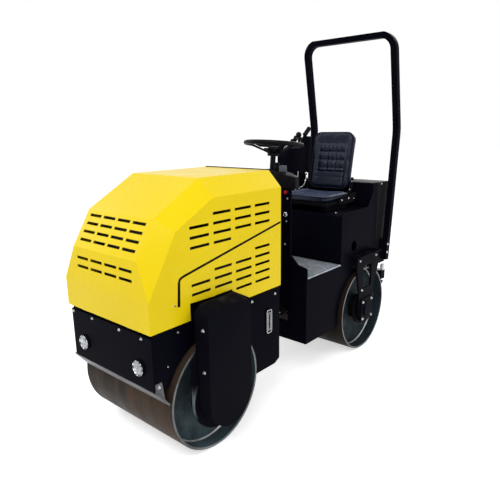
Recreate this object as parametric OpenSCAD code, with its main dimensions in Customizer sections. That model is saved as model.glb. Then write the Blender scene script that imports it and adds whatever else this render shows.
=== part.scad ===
// Ride-on mini vibratory roller with two steel drums and an articulated frame.
// Millimetres, +Z up. The machine faces -Y and its left side is +X.
// The origin is on the ground, under the middle of the overall box.
// Places along the machine are measured from the front axle in front modules,
// and from the rear axle in rear modules.

/* [Layout] */
// Distance between the two drum axles
wheelbase = 1400; // [1380:10:1480]
// Place of the front axle along the machine
front_axle_y = -713; // [-760:1:-680]
// Distance from the front axle back to the steering pivot
pivot_back = 636; // [630:1:642]
// Height of the steering pivot's middle
pivot_z = 400; // [380:5:420]

/* [Drums] */
// Outer diameter of a drum
drum_d = 560; // [540:2:570]
// Width of a drum
drum_w = 650; // [640:2:654]
// Thickness of the drum shell
shell_t = 12; // [10:1:20]
// Depth of a web disc behind the end of the shell
web_inset = 70; // [50:2:100]
// Thickness of a web disc
web_t = 12; // [8:1:20]
// Diameter of a stub axle
stub_d = 60; // [50:2:70]
// Diameter of the hub plate of the front drum
hub_d = 300; // [260:2:310]
// Diameter of the hub plate of the rear drum
rear_hub_d = 220; // [180:2:260]

/* [Front frame] */
// How far the front frame's sides stand inside the ends of the drum
frame_inset = 27; // [26:1:32]
// Thickness of the frame plates
plate_t = 10; // [6:1:12]
// Distance of the front plate ahead of the front axle
front_plate_y = 343; // [335:1:345]
// Distance of the rear cross plate behind the front axle
cross_plate_y = 495; // [485:1:497]
// Height of the lower edge of the skirt at the front
skirt_z = 405; // [395:5:425]
// Height of the lower edge of the frame behind the drum
frame_low_z = 226; // [210:2:250]
// Height of the upper edge of the front plate
skirt_top_z = 640; // [620:2:646]
// Height of the upper edge of the side plates, inside the hood
side_top_z = 690; // [676:2:710]
// Height of the engine deck
deck_z = 586; // [580:1:592]

/* [Hood] */
// Width of the hood over its side panels
hood_w = 614; // [612:2:622]
// Width of the hood over its roof
hood_top_w = 460; // [420:5:490]
// Thickness of the hood's sheet
hood_t = 3; // [2:0.5:4]
// Height of the hood's lower edge
hood_low_z = 661; // [657:1:668]
// Height of the hood's roof
hood_top_z = 1254; // [1220:2:1290]
// Distance of the hood's front ahead of the front axle
hood_front_y = 352; // [352:1:362]
// Distance of the hood's rear edge behind the front axle
hood_rear_y = 503; // [495:1:505]
// Height of a cooling slot
slot_h = 13; // [9:1:16]

/* [Yokes and guards] */
// Gap between a drum's end and its yoke
yoke_gap = 6; // [5:0.5:8]
// Thickness of a front yoke plate
yoke_t = 16; // [12:1:20]
// Thickness of a rear yoke plate
rear_yoke_t = 12; // [10:1:16]
// Radius of the round lower end of a front yoke
yoke_r = 168; // [150:2:172]
// Half length of the front guards, and radius of their lower end
guard_r = 136; // [126:2:140]
// Height of the outer edge of the front guards' tops
guard_top_z = 718; // [710:2:722]
// Rise of a guard's top towards the hood
guard_rise = 16; // [6:1:16]
// Width of the machine over the front guards
guard_w = 830; // [800:2:860]
// Sheet thickness of the guards
guard_t = 5; // [3:0.5:8]

/* [Rear frame] */
// How far the body's sides stand inside the ends of the drum
body_inset = 25; // [22:1:30]
// Distance of the front bulkhead ahead of the rear axle
bulkhead_y = 643; // [638:1:648]
// Height of the floor plate's upper face
floor_z = 632; // [626:2:640]
// Height of the lower edge of the step box
step_low_z = 231; // [215:2:245]
// Distance of the seat box's front ahead of the rear axle
seat_box_y = 270; // [260:2:280]
// Height of the seat deck
seat_deck_z = 954; // [940:2:970]
// Height of the raised rear part of the body
body_top_z = 1103; // [1090:2:1120]
// Sheet thickness of the seat box
sheet_t = 4; // [3:0.5:6]

/* [Roll bar] */
// Width of the square tube of the roll bar
rops_tube = 40; // [36:2:50]
// Gap between the body's sides and the posts of the roll bar
rops_gap = 8; // [6:1:12]
// Radius of the outside of its upper corners
rops_corner = 110; // [90:5:140]
// Radius of the bend in each post
rops_bend = 260; // [200:10:320]

/* [Operator's place] */
// Diameter of the steering wheel's rim circle
wheel_d = 326; // [316:2:344]
// Lean of the steering column from upright, in degrees
column_rake = 6; // [4:1:12]
// Width of the seat cushion
seat_w = 396; // [370:2:400]
// Width of the console's front panel
console_w = 368; // [350:2:376]
// Width of the pedestal behind the panel
pedestal_w = 260; // [220:5:280]

/* [Hidden] */
$fn = 96;

// Colours
yellow = [0.93, 0.80, 0.05];
black = [0.07, 0.07, 0.08];
charcoal = [0.16, 0.16, 0.17];
vinyl = [0.10, 0.11, 0.14];

// Clearances
turn_gap = 0.3;   // a shaft in its hole
arch_gap = 14;    // a drum in its arch
scraper_gap = 7;  // a scraper's edge and its drum

// Values shared by several sub-parts
drum_r = drum_d / 2;
drum_half = drum_w / 2;
axle_z = drum_r;
stub_r = stub_d / 2;
arch_r = drum_r + arch_gap;
yoke_x = drum_half + yoke_gap;
frame_w = drum_w - 2 * frame_inset;
frame_half = frame_w / 2;
body_w = drum_w - 2 * body_inset;
body_half = body_w / 2;
rops_w = body_w + 2 * (rops_gap + rops_tube);
rear_axle_y = front_axle_y + wheelbase;
pivot_y = front_axle_y + pivot_back;
// the steering pivot seen from the rear axle
pivot_ahead = pivot_back - wheelbase;

// Puts its children on both sides of the machine.
module both_sides() {
    children();
    mirror([1, 0, 0]) children();
}

// Moves children from the line under the front axle.
module at_front() {
    translate([0, front_axle_y, 0]) children();
}

// Moves children from the line under the rear axle.
module at_rear() {
    translate([0, rear_axle_y, 0]) children();
}

// Plate of thickness t from x0 outwards, its outline drawn as (y, z).
module side_plate(x0, t) {
    translate([x0, 0, 0]) rotate([90, 0, 90]) linear_extrude(t) children();
}

// Plate of thickness t from y0 backwards, its outline drawn as (x, z).
module cross_plate(y0, t) {
    translate([0, y0 + t, 0]) rotate([90, 0, 0]) linear_extrude(t) children();
}

// Box given by its ranges along x, y and z.
module span(x, y, z) {
    translate([x[0], y[0], z[0]]) cube([x[1] - x[0], y[1] - y[0], z[1] - z[0]]);
}

// Cylinder along x from x0 to x1.
module rod_x(r, x0, x1) {
    translate([x0, 0, 0]) rotate([0, 90, 0]) cylinder(r = r, h = x1 - x0);
}

// Cylinder along y from y0 to y1.
module rod_y(r, y0, y1) {
    translate([0, y0, 0]) rotate([-90, 0, 0]) cylinder(r = r, h = y1 - y0);
}

// ---------------------------------------------------------------- drums

boss_r = 80;
hub_inset = 12;
hub_t = 10;

// Rolled shell with a web disc near each end.
module drum() {
    translate([0, 0, axle_z]) difference() {
        union() {
            difference() {
                rod_x(drum_r, -drum_half, drum_half);
                rod_x(drum_r - shell_t, -drum_half - 1, drum_half + 1);
            }
            both_sides() rod_x(drum_r - shell_t, drum_half - web_inset - web_t, drum_half - web_inset);
        }
        rod_x(stub_r + turn_gap, -drum_half, drum_half);
    }
}

// Both hubs of a drum: boss on the web, thin hub plate near the shell's end, stub axle.
module drum_hubs(plate_r) {
    web_x = drum_half - web_inset;
    plate_x = drum_half - hub_inset;
    translate([0, 0, axle_z]) both_sides() {
        rod_x(boss_r, web_x, plate_x);
        rod_x(plate_r, plate_x - hub_t, plate_x);
        rod_x(stub_r, web_x - web_t, yoke_x + rear_yoke_t + 4);
    }
}

module front_drum() {
    color("dimgray") at_front() drum();
}

module rear_drum() {
    color("dimgray") at_rear() drum();
}

module front_drum_hubs() {
    color(charcoal) at_front() drum_hubs(hub_d / 2);
}

module rear_drum_hubs() {
    color(charcoal) at_rear() drum_hubs(rear_hub_d / 2);
}

// ---------------------------------------------------------------- front frame

osc_pin_r = 30;
pivot_tube_r = 45;
pivot_tube_len = 55;
tail_rise = 20;   // the frame's lower rear corner is cut by this much
tail_run = 40;
lip_y = -hood_front_y + 26;
lip_t = 5;

module front_side_outline() {
    rear = cross_plate_y + plate_t;
    difference() {
        polygon([
            [-front_plate_y, skirt_z], [-front_plate_y, skirt_top_z], [hinge_y + 2, skirt_top_z],
            [hinge_y + 2, side_top_z], [-126, side_top_z],
            [-126, side_top_z + 40], [118, side_top_z + 30], [160, side_top_z], [rear, side_top_z],
            [rear, frame_low_z + tail_rise], [rear - tail_run, frame_low_z],
            [0, frame_low_z], [0, skirt_z]
        ]);
        translate([0, axle_z]) circle(r = arch_r);
    }
}

lamp_x = 206;
lamp_z = 490;
lamp_r = 36;
cable_hole_r = 12;

// Welded box: two side plates, front plate, engine deck and the cross plate with the pivot tube.
module front_frame() {
    inner = frame_half - plate_t;
    rear = cross_plate_y + plate_t;
    color(black) at_front() difference() {
        union() {
            both_sides() side_plate(inner, plate_t) front_side_outline();
            span([-inner, inner], [-front_plate_y, -front_plate_y + plate_t], [skirt_z, skirt_top_z]);
            span([-inner, inner], [-front_plate_y + plate_t, cross_plate_y], [deck_z, deck_z + plate_t]);
            span([-inner, inner], [lip_y, lip_y + lip_t], [deck_z, side_top_z]);
            span([-inner, inner], [cross_plate_y, rear], [frame_low_z + tail_rise, side_top_z]);
            translate([0, 0, pivot_z]) rod_y(pivot_tube_r, rear, rear + pivot_tube_len);
            // gussets between the pivot tube and the cross plate
            both_sides() side_plate(pivot_tube_r - plate_t, plate_t) polygon([
                [rear, pivot_z - 120], [rear, pivot_z - 20], [rear + pivot_tube_len - 10, pivot_z - 20],
                [rear + pivot_tube_len - 10, pivot_z - 36]
            ]);
        }
        translate([0, 0, pivot_z]) rod_y(osc_pin_r + turn_gap, cross_plate_y - 1, rear + pivot_tube_len + 1);
        both_sides() translate([lamp_x, 0, lamp_z])
            rod_y(cable_hole_r, -front_plate_y - 1, -front_plate_y + plate_t + 1);
    }
}

engine_size = [380, 480, 400];
engine_front_y = -120;
module engine_block() {
    color("dimgray") at_front()
        translate([-engine_size[0] / 2, engine_front_y, deck_z + plate_t]) cube(engine_size);
}

// Radiator behind the grille, with a narrower header tank on top
core_w = 470;
core_y = [-225, -165];
core_top_z = 1050;
header_w = 360;
header_inset = 8;
header_top_z = 1104;
core_border = [25, 45];   // frame round the core, at the sides and at the top and bottom
core_recess = 8;
module radiator_core() {
    half = core_w / 2;
    low = deck_z + plate_t;
    color(charcoal) at_front() difference() {
        union() {
            span([-half, half], core_y, [low, core_top_z]);
            span(header_w * [-0.5, 0.5], core_y + header_inset * [1, -1], [core_top_z - 1, header_top_z]);
        }
        span([core_border[0] - half, half - core_border[0]], [core_y[0] - 1, core_y[0] + core_recess],
            [low + core_border[1], core_top_z - core_border[1]]);
    }
}

// Fuel tank over the rear of the engine
fuel_size = [450, 310, 174];
fuel_y = 90;
module fuel_tank() {
    color(charcoal) at_front()
        translate([-fuel_size[0] / 2, fuel_y, deck_z + plate_t + engine_size[2]]) cube(fuel_size);
}

firewall_gap = 6;
firewall_t = 4;
firewall_over = 4;   // how far it stands out above the hood's roof
shoulder_drop = 81;  // from the hood's roof down to the top of its side panels
module firewall() {
    y0 = hood_rear_y + firewall_gap;
    low = side_top_z - 60;
    half = [
        [frame_half, low], [frame_half, hood_top_z - shoulder_drop + firewall_over],
        [hood_top_w / 2, hood_top_z + firewall_over]
    ];
    color(black) at_front() {
        cross_plate(y0, firewall_t)
            polygon(concat(half, [for (i = [2 : -1 : 0]) [-half[i][0], half[i][1]]]));
        span([-200, 200], [cross_plate_y + plate_t, y0], [low, side_top_z]);
    }
}

// ---------------------------------------------------------------- hood

// Middle line of the hood's front and roof, and the line of its shoulders.
chin_h = 291;     // upright panel above the lower edge
chin_lean = 11;
brow_y = -246;    // top of the grille panel
brow_drop = 145;  // below the roof
roof_y = 11;      // front of the flat roof
corner_h = 134;   // where the cut corner starts above the lower edge
shoulder_y = [-197, 22];
shoulder_fall = 51;

hinge_y = -hood_front_y + 16;
hinge_z = hood_low_z + 4;
hinge_r = 7;
hinge_pin_r = 4;
hinge_x = [130, 199];
hinge_w = 11;

chin = [-hood_front_y + chin_lean, hood_low_z + chin_h];
brow = [brow_y, hood_top_z - brow_drop];

// Solid of the hood's outside moved inwards by t, open below and behind where t > 0.
module hood_body(t) {
    over = t > 0 ? 1 : 0;
    front = -hood_front_y + t;
    rear = hood_rear_y + over;
    low = hood_low_z - over;
    side_top = hood_top_z - shoulder_drop - t;
    side_half = hood_w / 2 - t;
    roof_half = hood_top_w / 2 - 0.4 * t;
    hull() {
        side_plate(-side_half, 2 * side_half) polygon([
            [front, low], [front, hood_low_z + corner_h],
            [shoulder_y[0] + t, brow[1] - shoulder_fall - t], [shoulder_y[1], side_top],
            [rear, side_top], [rear, low]
        ]);
        side_plate(-roof_half, 2 * roof_half) polygon([
            [front, low], [chin[0] + t, chin[1]], [brow[0] + t, brow[1] - t],
            [roof_y, hood_top_z - t], [rear, hood_top_z - t], [rear, low]
        ]);
    }
}

front_slot_w = 88;
front_slot_pitch = 105;
side_slot_w = 113;
side_slot_pitch = 140;
side_slot_y = -65;
// rows of slots in a side panel: [height below the roof, first column, last column]
side_rows = [
    [149, 1, 3], [192, 0, 3], [235, 0, 3], [278, 0, 1],
    [357, 3, 3], [399, 1, 3], [441, 0, 3], [483, 0, 3], [526, 0, 3]
];
row_pitch = 39.5;

// Rows of cooling slots through a panel that lies in the xz plane, bottom row at z = 0.
module front_slots(rows) {
    for (r = [0 : rows - 1], c = [-1.5 : 1 : 1.5])
        translate([c * front_slot_pitch, 0, r * row_pitch])
            cube([front_slot_w, 60, slot_h], center = true);
}

module side_slots() {
    for (row = side_rows, c = [row[1] : row[2]])
        translate([0, side_slot_y + c * side_slot_pitch, hood_top_z - row[0]])
            cube([2 * hood_w, side_slot_w, slot_h], center = true);
}

// Pressed line that runs down each side panel towards the front.
groove_w = 5;
groove_depth = 1.2;
groove_rear = [hood_rear_y - 16, hood_top_z - 260];
groove_bend = [-190, hood_top_z - 393];
groove_end = [-197, hood_top_z - 513];
module groove_outline() {
    for (run = [[groove_rear, groove_bend], [groove_bend, groove_end]]) {
        d = run[1] - run[0];
        translate(run[0]) rotate(atan2(d[1], d[0])) translate([0, -groove_w / 2]) square([norm(d), groove_w]);
        translate(run[1]) circle(d = groove_w);
    }
    translate(groove_end) circle(r = groove_w);
}

// Cut in each side panel around the guard of the front motor.
notch = [[-134, 0], [-134, 77], [128, 67], [252, 0]];
module notch_outline() {
    polygon([for (p = concat([[notch[0][0], -1]], [notch[1], notch[2]], [notch[3] + [2, -1]]))
        [p[0], hood_low_z + p[1]]]);
}

grille_tilt = atan2(brow[0] - chin[0], brow[1] - chin[1]);
module hood() {
    color(yellow) at_front() {
        difference() {
            hood_body(0);
            hood_body(hood_t);
            translate([0, chin[0], chin[1]]) rotate([-grille_tilt, 0, 0])
                translate([0, 0, row_pitch]) front_slots(4);
            translate([0, -hood_front_y, chin[1] - 2.15 * row_pitch]) front_slots(2);
            side_slots();
            both_sides() {
                side_plate(hood_w / 2 - groove_depth, 10) groove_outline();
                side_plate(hood_w / 2 - 20, 40) notch_outline();
            }
        }
        both_sides() difference() {
            x1 = hinge_x[1] - 3;
            x0 = hinge_x[0] + hinge_w + 3;
            union() {
                span([x0, x1], [-hood_front_y + hood_t - 0.5, hinge_y], [hinge_z - hinge_r, hinge_z + hinge_r]);
                translate([0, hinge_y, hinge_z]) rod_x(hinge_r, x0, x1);
            }
            translate([0, hinge_y, hinge_z]) rod_x(hinge_pin_r + turn_gap, x0 - 1, x1 + 1);
        }
    }
}

module hood_hinges() {
    color(black) at_front() both_sides() {
        translate([0, hinge_y, hinge_z]) rod_x(hinge_pin_r, hinge_x[0], hinge_x[1] + hinge_w);
        for (x = hinge_x) {
            translate([0, hinge_y, hinge_z]) rod_x(hinge_r, x, x + hinge_w);
            span([x, x + hinge_w], [-front_plate_y + plate_t, lip_y], [deck_z + plate_t, hinge_z + 5]);
        }
    }
}

// ---------------------------------------------------------------- yokes and guards

guard_corner = 40;
module guard_outline(r, top_z, corner) {
    hull() {
        translate([0, axle_z]) circle(r = r);
        for (s = [-1, 1]) translate([s * (r - corner), top_z - corner]) circle(r = corner);
    }
}

// Yoke plate: as narrow as the guard at the top, wider round the axle.
yoke_low_z = 470;
module yoke_outline() {
    top = guard_top_z + guard_rise;
    polygon([
        [-yoke_r, axle_z], [-yoke_r, yoke_low_z], [-guard_r, yoke_low_z + 60], [-guard_r, top - 30],
        [-guard_r + 30, top], [guard_r - 30, top], [guard_r, top - 30], [guard_r, yoke_low_z + 60],
        [yoke_r, yoke_low_z], [yoke_r, axle_z]
    ]);
    translate([0, axle_z]) circle(r = yoke_r);
}

yoke_pad = [200, 60];
module front_yokes() {
    pad_z = hood_low_z - 12 - yoke_pad[1];
    color(black) at_front() both_sides() difference() {
        union() {
            side_plate(yoke_x, yoke_t) yoke_outline();
            span([frame_half, yoke_x], [-yoke_pad[0] / 2, yoke_pad[0] / 2], [pad_z, pad_z + yoke_pad[1]]);
        }
        translate([0, 0, axle_z]) rod_x(stub_r + turn_gap, yoke_x - 1, yoke_x + yoke_t + 1);
    }
}

// Solid of a guard between two planes, its top sloping up towards the hood, moved inwards by t.
module guard_body(x0, x1, t) {
    hull() {
        side_plate(x0, 1) guard_outline(guard_r - t, guard_top_z + guard_rise - t, guard_corner - t);
        side_plate(x1 - 1, 1) guard_outline(guard_r - t, guard_top_z - t, guard_corner - t);
    }
}

module motor_guards() {
    x0 = yoke_x + yoke_t;
    x1 = guard_w / 2;
    color(charcoal) at_front() both_sides() difference() {
        guard_body(x0, x1, 0);
        guard_body(x0 - 2, x1 - guard_t, guard_t);
    }
}

// Rear yoke: wide head, two legs beside a window, round motor end.
yoke_head = [-135, 160];
yoke_head_z = [560, 652];
yoke_end_r = 98;
yoke_window = [110, 150];
yoke_arm_h = 52;
yoke_cap = [30, 8];      // reach beyond the yoke's inner face, and thickness
module rear_yoke_outline() {
    difference() {
        union() {
            translate([0, axle_z]) circle(r = yoke_end_r);
            polygon([
                [-yoke_end_r, axle_z], [-yoke_end_r, 420], [yoke_head[0], yoke_head_z[0]],
                [yoke_head[0], yoke_head_z[1]], [yoke_head[1], yoke_head_z[1]],
                [yoke_head[1], yoke_head_z[0]], [yoke_end_r, 420], [yoke_end_r, axle_z]
            ]);
        }
        translate([-50, 430]) square(yoke_window);
    }
}

module rear_yokes() {
    color(black) at_rear() both_sides() difference() {
        union() {
            side_plate(yoke_x, rear_yoke_t) rear_yoke_outline();
            span([body_half, yoke_x], yoke_head, [yoke_head_z[1] - yoke_arm_h, yoke_head_z[1]]);
            span([body_half, yoke_x + yoke_cap[0]], yoke_head,
                [yoke_head_z[1], yoke_head_z[1] + yoke_cap[1]]);
        }
        translate([0, 0, axle_z]) rod_x(stub_r + turn_gap, yoke_x - 1, yoke_x + rear_yoke_t + 1);
    }
}

motor_plate = 150;
motor_r = 48;
module rear_motors() {
    x0 = yoke_x + rear_yoke_t;
    color(charcoal) at_rear() both_sides() translate([0, 0, axle_z]) difference() {
        union() {
            translate([x0 + 5, 0, 0]) cube([10, motor_plate, motor_plate], center = true);
            rod_x(motor_r, x0 + 10, x0 + 22);
        }
        rod_x(stub_r + 2, x0 - 1, x0 + 8);
    }
}

// ---------------------------------------------------------------- front fittings

lamp_depth = 9;
lamp_rim = 5;
module headlights() {
    color("lightgray") at_front() both_sides() translate([lamp_x, 0, lamp_z]) difference() {
        rod_y(lamp_r, -front_plate_y - lamp_depth, -front_plate_y);
        rod_y(lamp_r - lamp_rim, -front_plate_y - lamp_depth - 1, -front_plate_y - lamp_depth + 4);
    }
}

blade_t = 8;
blade_half = 318;

// Scraper blade between a point on its carrier and its edge near the drum, as (y, z).
module blade(from, to) {
    d = (to - from) / norm(to - from);
    n = blade_t * [-d[1], d[0]];
    side_plate(-blade_half, 2 * blade_half) polygon([from, to, to + n, from + n]);
}

tip_rise = 46;           // height of the front blade's tip above the axle
tab_size = [10, 30, 72];
tab_inset = 32;          // from the side plate's outer face
end_t = 6;
module front_scraper() {
    reach = drum_r + scraper_gap;
    front = -front_plate_y;
    color("silver") at_front() {
        blade([front + 2, skirt_z - 7], [-sqrt(reach * reach - tip_rise * tip_rise), axle_z + tip_rise]);
        both_sides() {
            translate([frame_half - tab_inset - tab_size[0], front + plate_t, skirt_z - 12]) cube(tab_size);
            // end bracket between the blade and the side plate
            side_plate(frame_half, end_t) polygon([
                [front + 5, skirt_z - 9], [front + 5, skirt_z + 35], [front + 37, skirt_z + 35],
                [front + 53, skirt_z - 65]
            ]);
        }
    }
}

gauge_y = 390;
gauge_size = [6, 44, 130];
module oil_gauge() {
    color("silver") at_front() translate([frame_half, gauge_y, 420]) difference() {
        cube(gauge_size);
        translate([gauge_size[0] - 2, 14, 18]) cube([10, 16, gauge_size[2] - 36]);
    }
}

// ---------------------------------------------------------------- steering pivot

block_size = [110, 100, 110];
pin_r = 25;
lug_x = 118;
lug_r = 24;
lug_t = 24;
eye_pin_r = 9;

module pivot_block() {
    reach = pivot_back - cross_plate_y;
    color(black) translate([0, pivot_y, pivot_z]) difference() {
        union() {
            cube(block_size, center = true);
            rod_y(osc_pin_r, -reach - 14, -block_size[1] / 2);
            rod_y(osc_pin_r + 10, -reach - 14, -reach);
            translate([lug_x, 0, -lug_t / 2]) cylinder(r = lug_r, h = lug_t);
            span([0, lug_x], [-lug_r, lug_r], [-lug_t / 2, lug_t / 2]);
        }
        translate([0, 0, -100]) cylinder(r = pin_r + turn_gap, h = 200);
        translate([lug_x, 0, -100]) cylinder(r = eye_pin_r + turn_gap, h = 200);
    }
}

fork_gap = 4;
fork_t = 20;
module pivot_pin() {
    half = block_size[2] / 2 + fork_gap + fork_t;
    color("silver") translate([0, pivot_y, pivot_z]) {
        translate([0, 0, -half]) cylinder(r = pin_r, h = 2 * half);
        translate([0, 0, half]) cylinder(r = pin_r + 12, h = 10);
    }
}

// Steering cylinder between the lug of the rear frame and the lug of the pivot block.
cyl_len = 320;
barrel_r = 24;
barrel_end = 200;
rod_r = 11;
clevis_gap = 2;
clevis_t = 8;

// Local +X runs from the anchor forwards along the cylinder.
module at_anchor() {
    translate([lug_x, pivot_y + cyl_len, pivot_z]) rotate([0, 0, -90]) children();
}

module steer_barrel() {
    color(black) at_anchor() difference() {
        union() {
            rod_x(barrel_r, 28, barrel_end);
            rod_x(barrel_r + 4, barrel_end - 18, barrel_end);
            translate([0, 0, -10]) cylinder(r = 20, h = 20);
            span([0, 30], [-14, 14], [-10, 10]);
        }
        rod_x(rod_r + turn_gap, 40, cyl_len);
        translate([0, 0, -20]) cylinder(r = eye_pin_r + turn_gap, h = 40);
    }
}

module steer_rod() {
    root = cyl_len - lug_r - 28;
    z0 = lug_t / 2 + clevis_gap;
    color("silver") at_anchor() {
        rod_x(rod_r, 104, root + 1);
        span([root, root + 18], [-16, 16], [-z0 - clevis_t, z0 + clevis_t]);
        for (s = [-1, 1]) translate([0, 0, s * (z0 + clevis_t / 2)]) {
            translate([cyl_len, 0, 0]) cylinder(r = 18, h = clevis_t, center = true);
            translate([(root + cyl_len) / 2, 0, 0]) cube([cyl_len - root, 32, clevis_t], center = true);
        }
    }
}

// ---------------------------------------------------------------- rear frame

deck_low_z = 590;   // underside of the plate over the rear drum
tail_y = 338;

module rear_side_outline() {
    front = -bulkhead_y + plate_t;
    difference() {
        polygon([
            [front, step_low_z], [front, floor_z - 6], [-seat_box_y, floor_z - 6],
            [-seat_box_y, floor_z + 8], [tail_y, floor_z + 8], [tail_y, deck_low_z - 60],
            [260, deck_low_z - 60], [0, deck_low_z], [0, step_low_z]
        ]);
        translate([0, axle_z]) circle(r = arch_r);
    }
}

toe_board_h = 67;        // height of the toe board above the floor plate
toe_slope = [54, 53];    // slope from the toe board up to the console's panel
// Bulkhead: full width below, stepped down to a low toe board beside the console.
module bulkhead_outline() {
    side = [
        [body_half, step_low_z], [body_half, floor_z + toe_board_h - 18],
        [body_half - 8, floor_z + toe_board_h - 10], [console_w / 2 + toe_slope[0], floor_z + toe_board_h],
        [console_w / 2, floor_z + toe_board_h + toe_slope[1]], [console_w / 2, dash_low_z]
    ];
    polygon(concat(side, [for (i = [len(side) - 1 : -1 : 0]) [-side[i][0], side[i][1]]]));
}

anchor_lug_t = 10;
module rear_frame() {
    inner = body_half - plate_t;
    face = -bulkhead_y - pivot_ahead;   // the bulkhead's front face seen from the pivot
    color(black) difference() {
        union() {
            at_rear() {
                both_sides() side_plate(inner, plate_t) rear_side_outline();
                cross_plate(-bulkhead_y, plate_t) bulkhead_outline();
                span([-inner, inner], [-arch_r - 20, -arch_r - 10], [step_low_z, floor_z - 6]);
                span([-inner, inner], [-arch_r - 10, tail_y], [deck_low_z, deck_low_z + plate_t]);
            }
            // fork plates above and below the pivot block
            translate([0, pivot_y, pivot_z]) for (s = [-1, 1])
                translate([0, 0, s * (block_size[2] / 2 + fork_gap + fork_t / 2)]) {
                    cylinder(r = 55, h = fork_t, center = true);
                    span([-55, 55], [0, face + 1], [-fork_t / 2, fork_t / 2]);
                    span([-100, 100], [face - 30, face + 1], [-fork_t / 2, fork_t / 2]);
                }
            // anchor of the steering cylinder, on the left side plate
            translate([lug_x, pivot_y + cyl_len, pivot_z]) {
                cylinder(r = eye_pin_r, h = 44, center = true);
                for (s = [-1, 1]) translate([0, 0, s * 16]) {
                    cylinder(r = 24, h = anchor_lug_t, center = true);
                    span([0, inner - lug_x + 1], [-24, 24], [-anchor_lug_t / 2, anchor_lug_t / 2]);
                }
            }
        }
        translate([0, pivot_y, pivot_z]) cylinder(r = pin_r, h = 400, center = true);
        translate([lug_x, pivot_y + face, pivot_z]) cube([100, 60, 110], center = true);
    }
}

module floor_plate() {
    color("silver") at_rear()
        span([-body_half, body_half], [-bulkhead_y + plate_t, -seat_box_y], [floor_z - 6, floor_z]);
}

seat_box_rear = 186;
wall_rise = 12;       // the side walls stand this far above the deck
back_wall_y = 118;    // face of the raised rear part
slope = [56, 160];    // foot and top of the slope of the side walls
port = [-112, 723];   // round service opening in the left side
port_r = 33;
edge_r = 22;
deck_top_z = seat_deck_z - wall_rise;
side_box_h = 388;       // height of the side console above the deck
side_foot = 200;        // depth of its foot on the deck
side_low_h = 120;       // height at which it has its full depth
side_chamfer = [50, 60];

module seat_box_outline(t) {
    bottom = floor_z + 8 - (t > 0 ? 1 : 0);
    top = seat_deck_z - wall_rise - t;
    front = -seat_box_y + t;
    polygon([
        [front, bottom], [front, top - edge_r],
        for (a = [75 : -15 : 15]) [front + edge_r * (1 - sin(a)), top - edge_r * (1 - cos(a))],
        [front + edge_r, top], [back_wall_y + t, top], [back_wall_y + t, body_top_z - t],
        [seat_box_rear - t, body_top_z - t], [seat_box_rear - t, bottom]
    ]);
}

module seat_wall_outline() {
    polygon([
        [-seat_box_y, floor_z + 8], [-seat_box_y, seat_deck_z - 6], [-seat_box_y + 6, seat_deck_z],
        [slope[0], seat_deck_z], [slope[1], body_top_z], [seat_box_rear, body_top_z],
        [seat_box_rear, floor_z + 8]
    ]);
}

module seat_box() {
    color(black) at_rear() difference() {
        union() {
            difference() {
                side_plate(-body_half + 1, body_w - 2) seat_box_outline(0);
                side_plate(-body_half + sheet_t, body_w - 2 * sheet_t) seat_box_outline(sheet_t);
            }
            both_sides() side_plate(body_half - sheet_t, sheet_t) seat_wall_outline();
        }
        translate([0, port[0], port[1]]) rod_x(port_r, 0, body_w);
    }
}

tank_inset = 4;
tank_foot_gap = 24;
tank_half = body_half - tank_inset;
cap_at = [-150, 262];
module water_tank() {
    color(charcoal) at_rear() difference() {
        union() {
            span([-tank_half, tank_half], [seat_box_rear, tail_y], [floor_z + 8, body_top_z - 3]);
            // foot between the frame's side plates
            span((body_half - plate_t - tank_foot_gap) * [-1, 1], [seat_box_rear, tail_y],
                [deck_low_z + plate_t, floor_z + 9]);
        }
        for (x = [-90, 90]) span([x - 20, x + 20], [tail_y - 8, tail_y + 1], [640, body_top_z - 60]);
    }
}

module tank_cap() {
    color(black) at_rear() translate([cap_at[0], cap_at[1], body_top_z - 3]) {
        cylinder(r = 32, h = 12);
        translate([0, 0, 12]) cylinder(r = 40, h = 18);
    }
}

// Rear bumper with a tie-down hole near each end.
bumper_y = [300, 358];
bumper_z = [400, 462];
tie_edge = 38;    // from the bumper's end to the middle of a tie-down hole
tie_x = body_half - tie_edge;
tie_r = 14;
module rear_bumper() {
    color(black) at_rear() difference() {
        union() {
            span([-body_half, body_half], bumper_y, bumper_z);
            both_sides() span([180, 210], [bumper_y[0], tail_y], [bumper_z[1], deck_low_z]);
        }
        both_sides() translate([tie_x, (bumper_y[0] + bumper_y[1]) / 2, 300]) cylinder(r = tie_r, h = 200);
    }
}

rear_tip_rise = 92;
strip_gap = 18;          // between the clamping strip and the tie-down holes
module rear_scraper() {
    reach = drum_r + scraper_gap;
    tip_y = -sqrt(reach * reach - rear_tip_rise * rear_tip_rise);
    low = bumper_z[0] - blade_t;
    color("silver") at_rear() mirror([0, 1, 0]) {
        blade([-bumper_y[0] - 4, low], [tip_y, axle_z + rear_tip_rise]);
        span((tie_x - tie_r - strip_gap) * [-1, 1], [-bumper_y[0] - 40, -bumper_y[0]], [low, bumper_z[0]]);
    }
}

// ---------------------------------------------------------------- roll bar

// side view of the tube's middle line: y behind the rear axle, z
rops_foot = [281, 560];
rops_kink = [364, 1440];
rops_top = [243, 2050];

// One side of a bend of radius r between two straight runs, moved sideways by d.
function bend_side(a, k, b, r, d, n = 8) =
    let (
        u = (k - a) / norm(k - a),
        v = (b - k) / norm(b - k),
        turn = acos(u * v),
        side = sign(u[0] * v[1] - u[1] * v[0]),
        cut = r * tan(turn / 2),
        c = k - u * cut + side * r * [-u[1], u[0]],
        start = atan2(-side * u[0], side * u[1])
    )
    [
        a + d * [-u[1], u[0]],
        for (i = [0 : n])
            let (g = start + side * turn * i / n) c + (r - side * d) * [cos(g), sin(g)],
        b + d * [-v[1], v[0]]
    ];

module rops_arch(half, top, corner) {
    hull() {
        translate([-half, 0]) square([2 * half, 10]);
        for (s = [-1, 1]) translate([s * (half - corner), top - corner]) circle(r = corner);
    }
}

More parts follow.
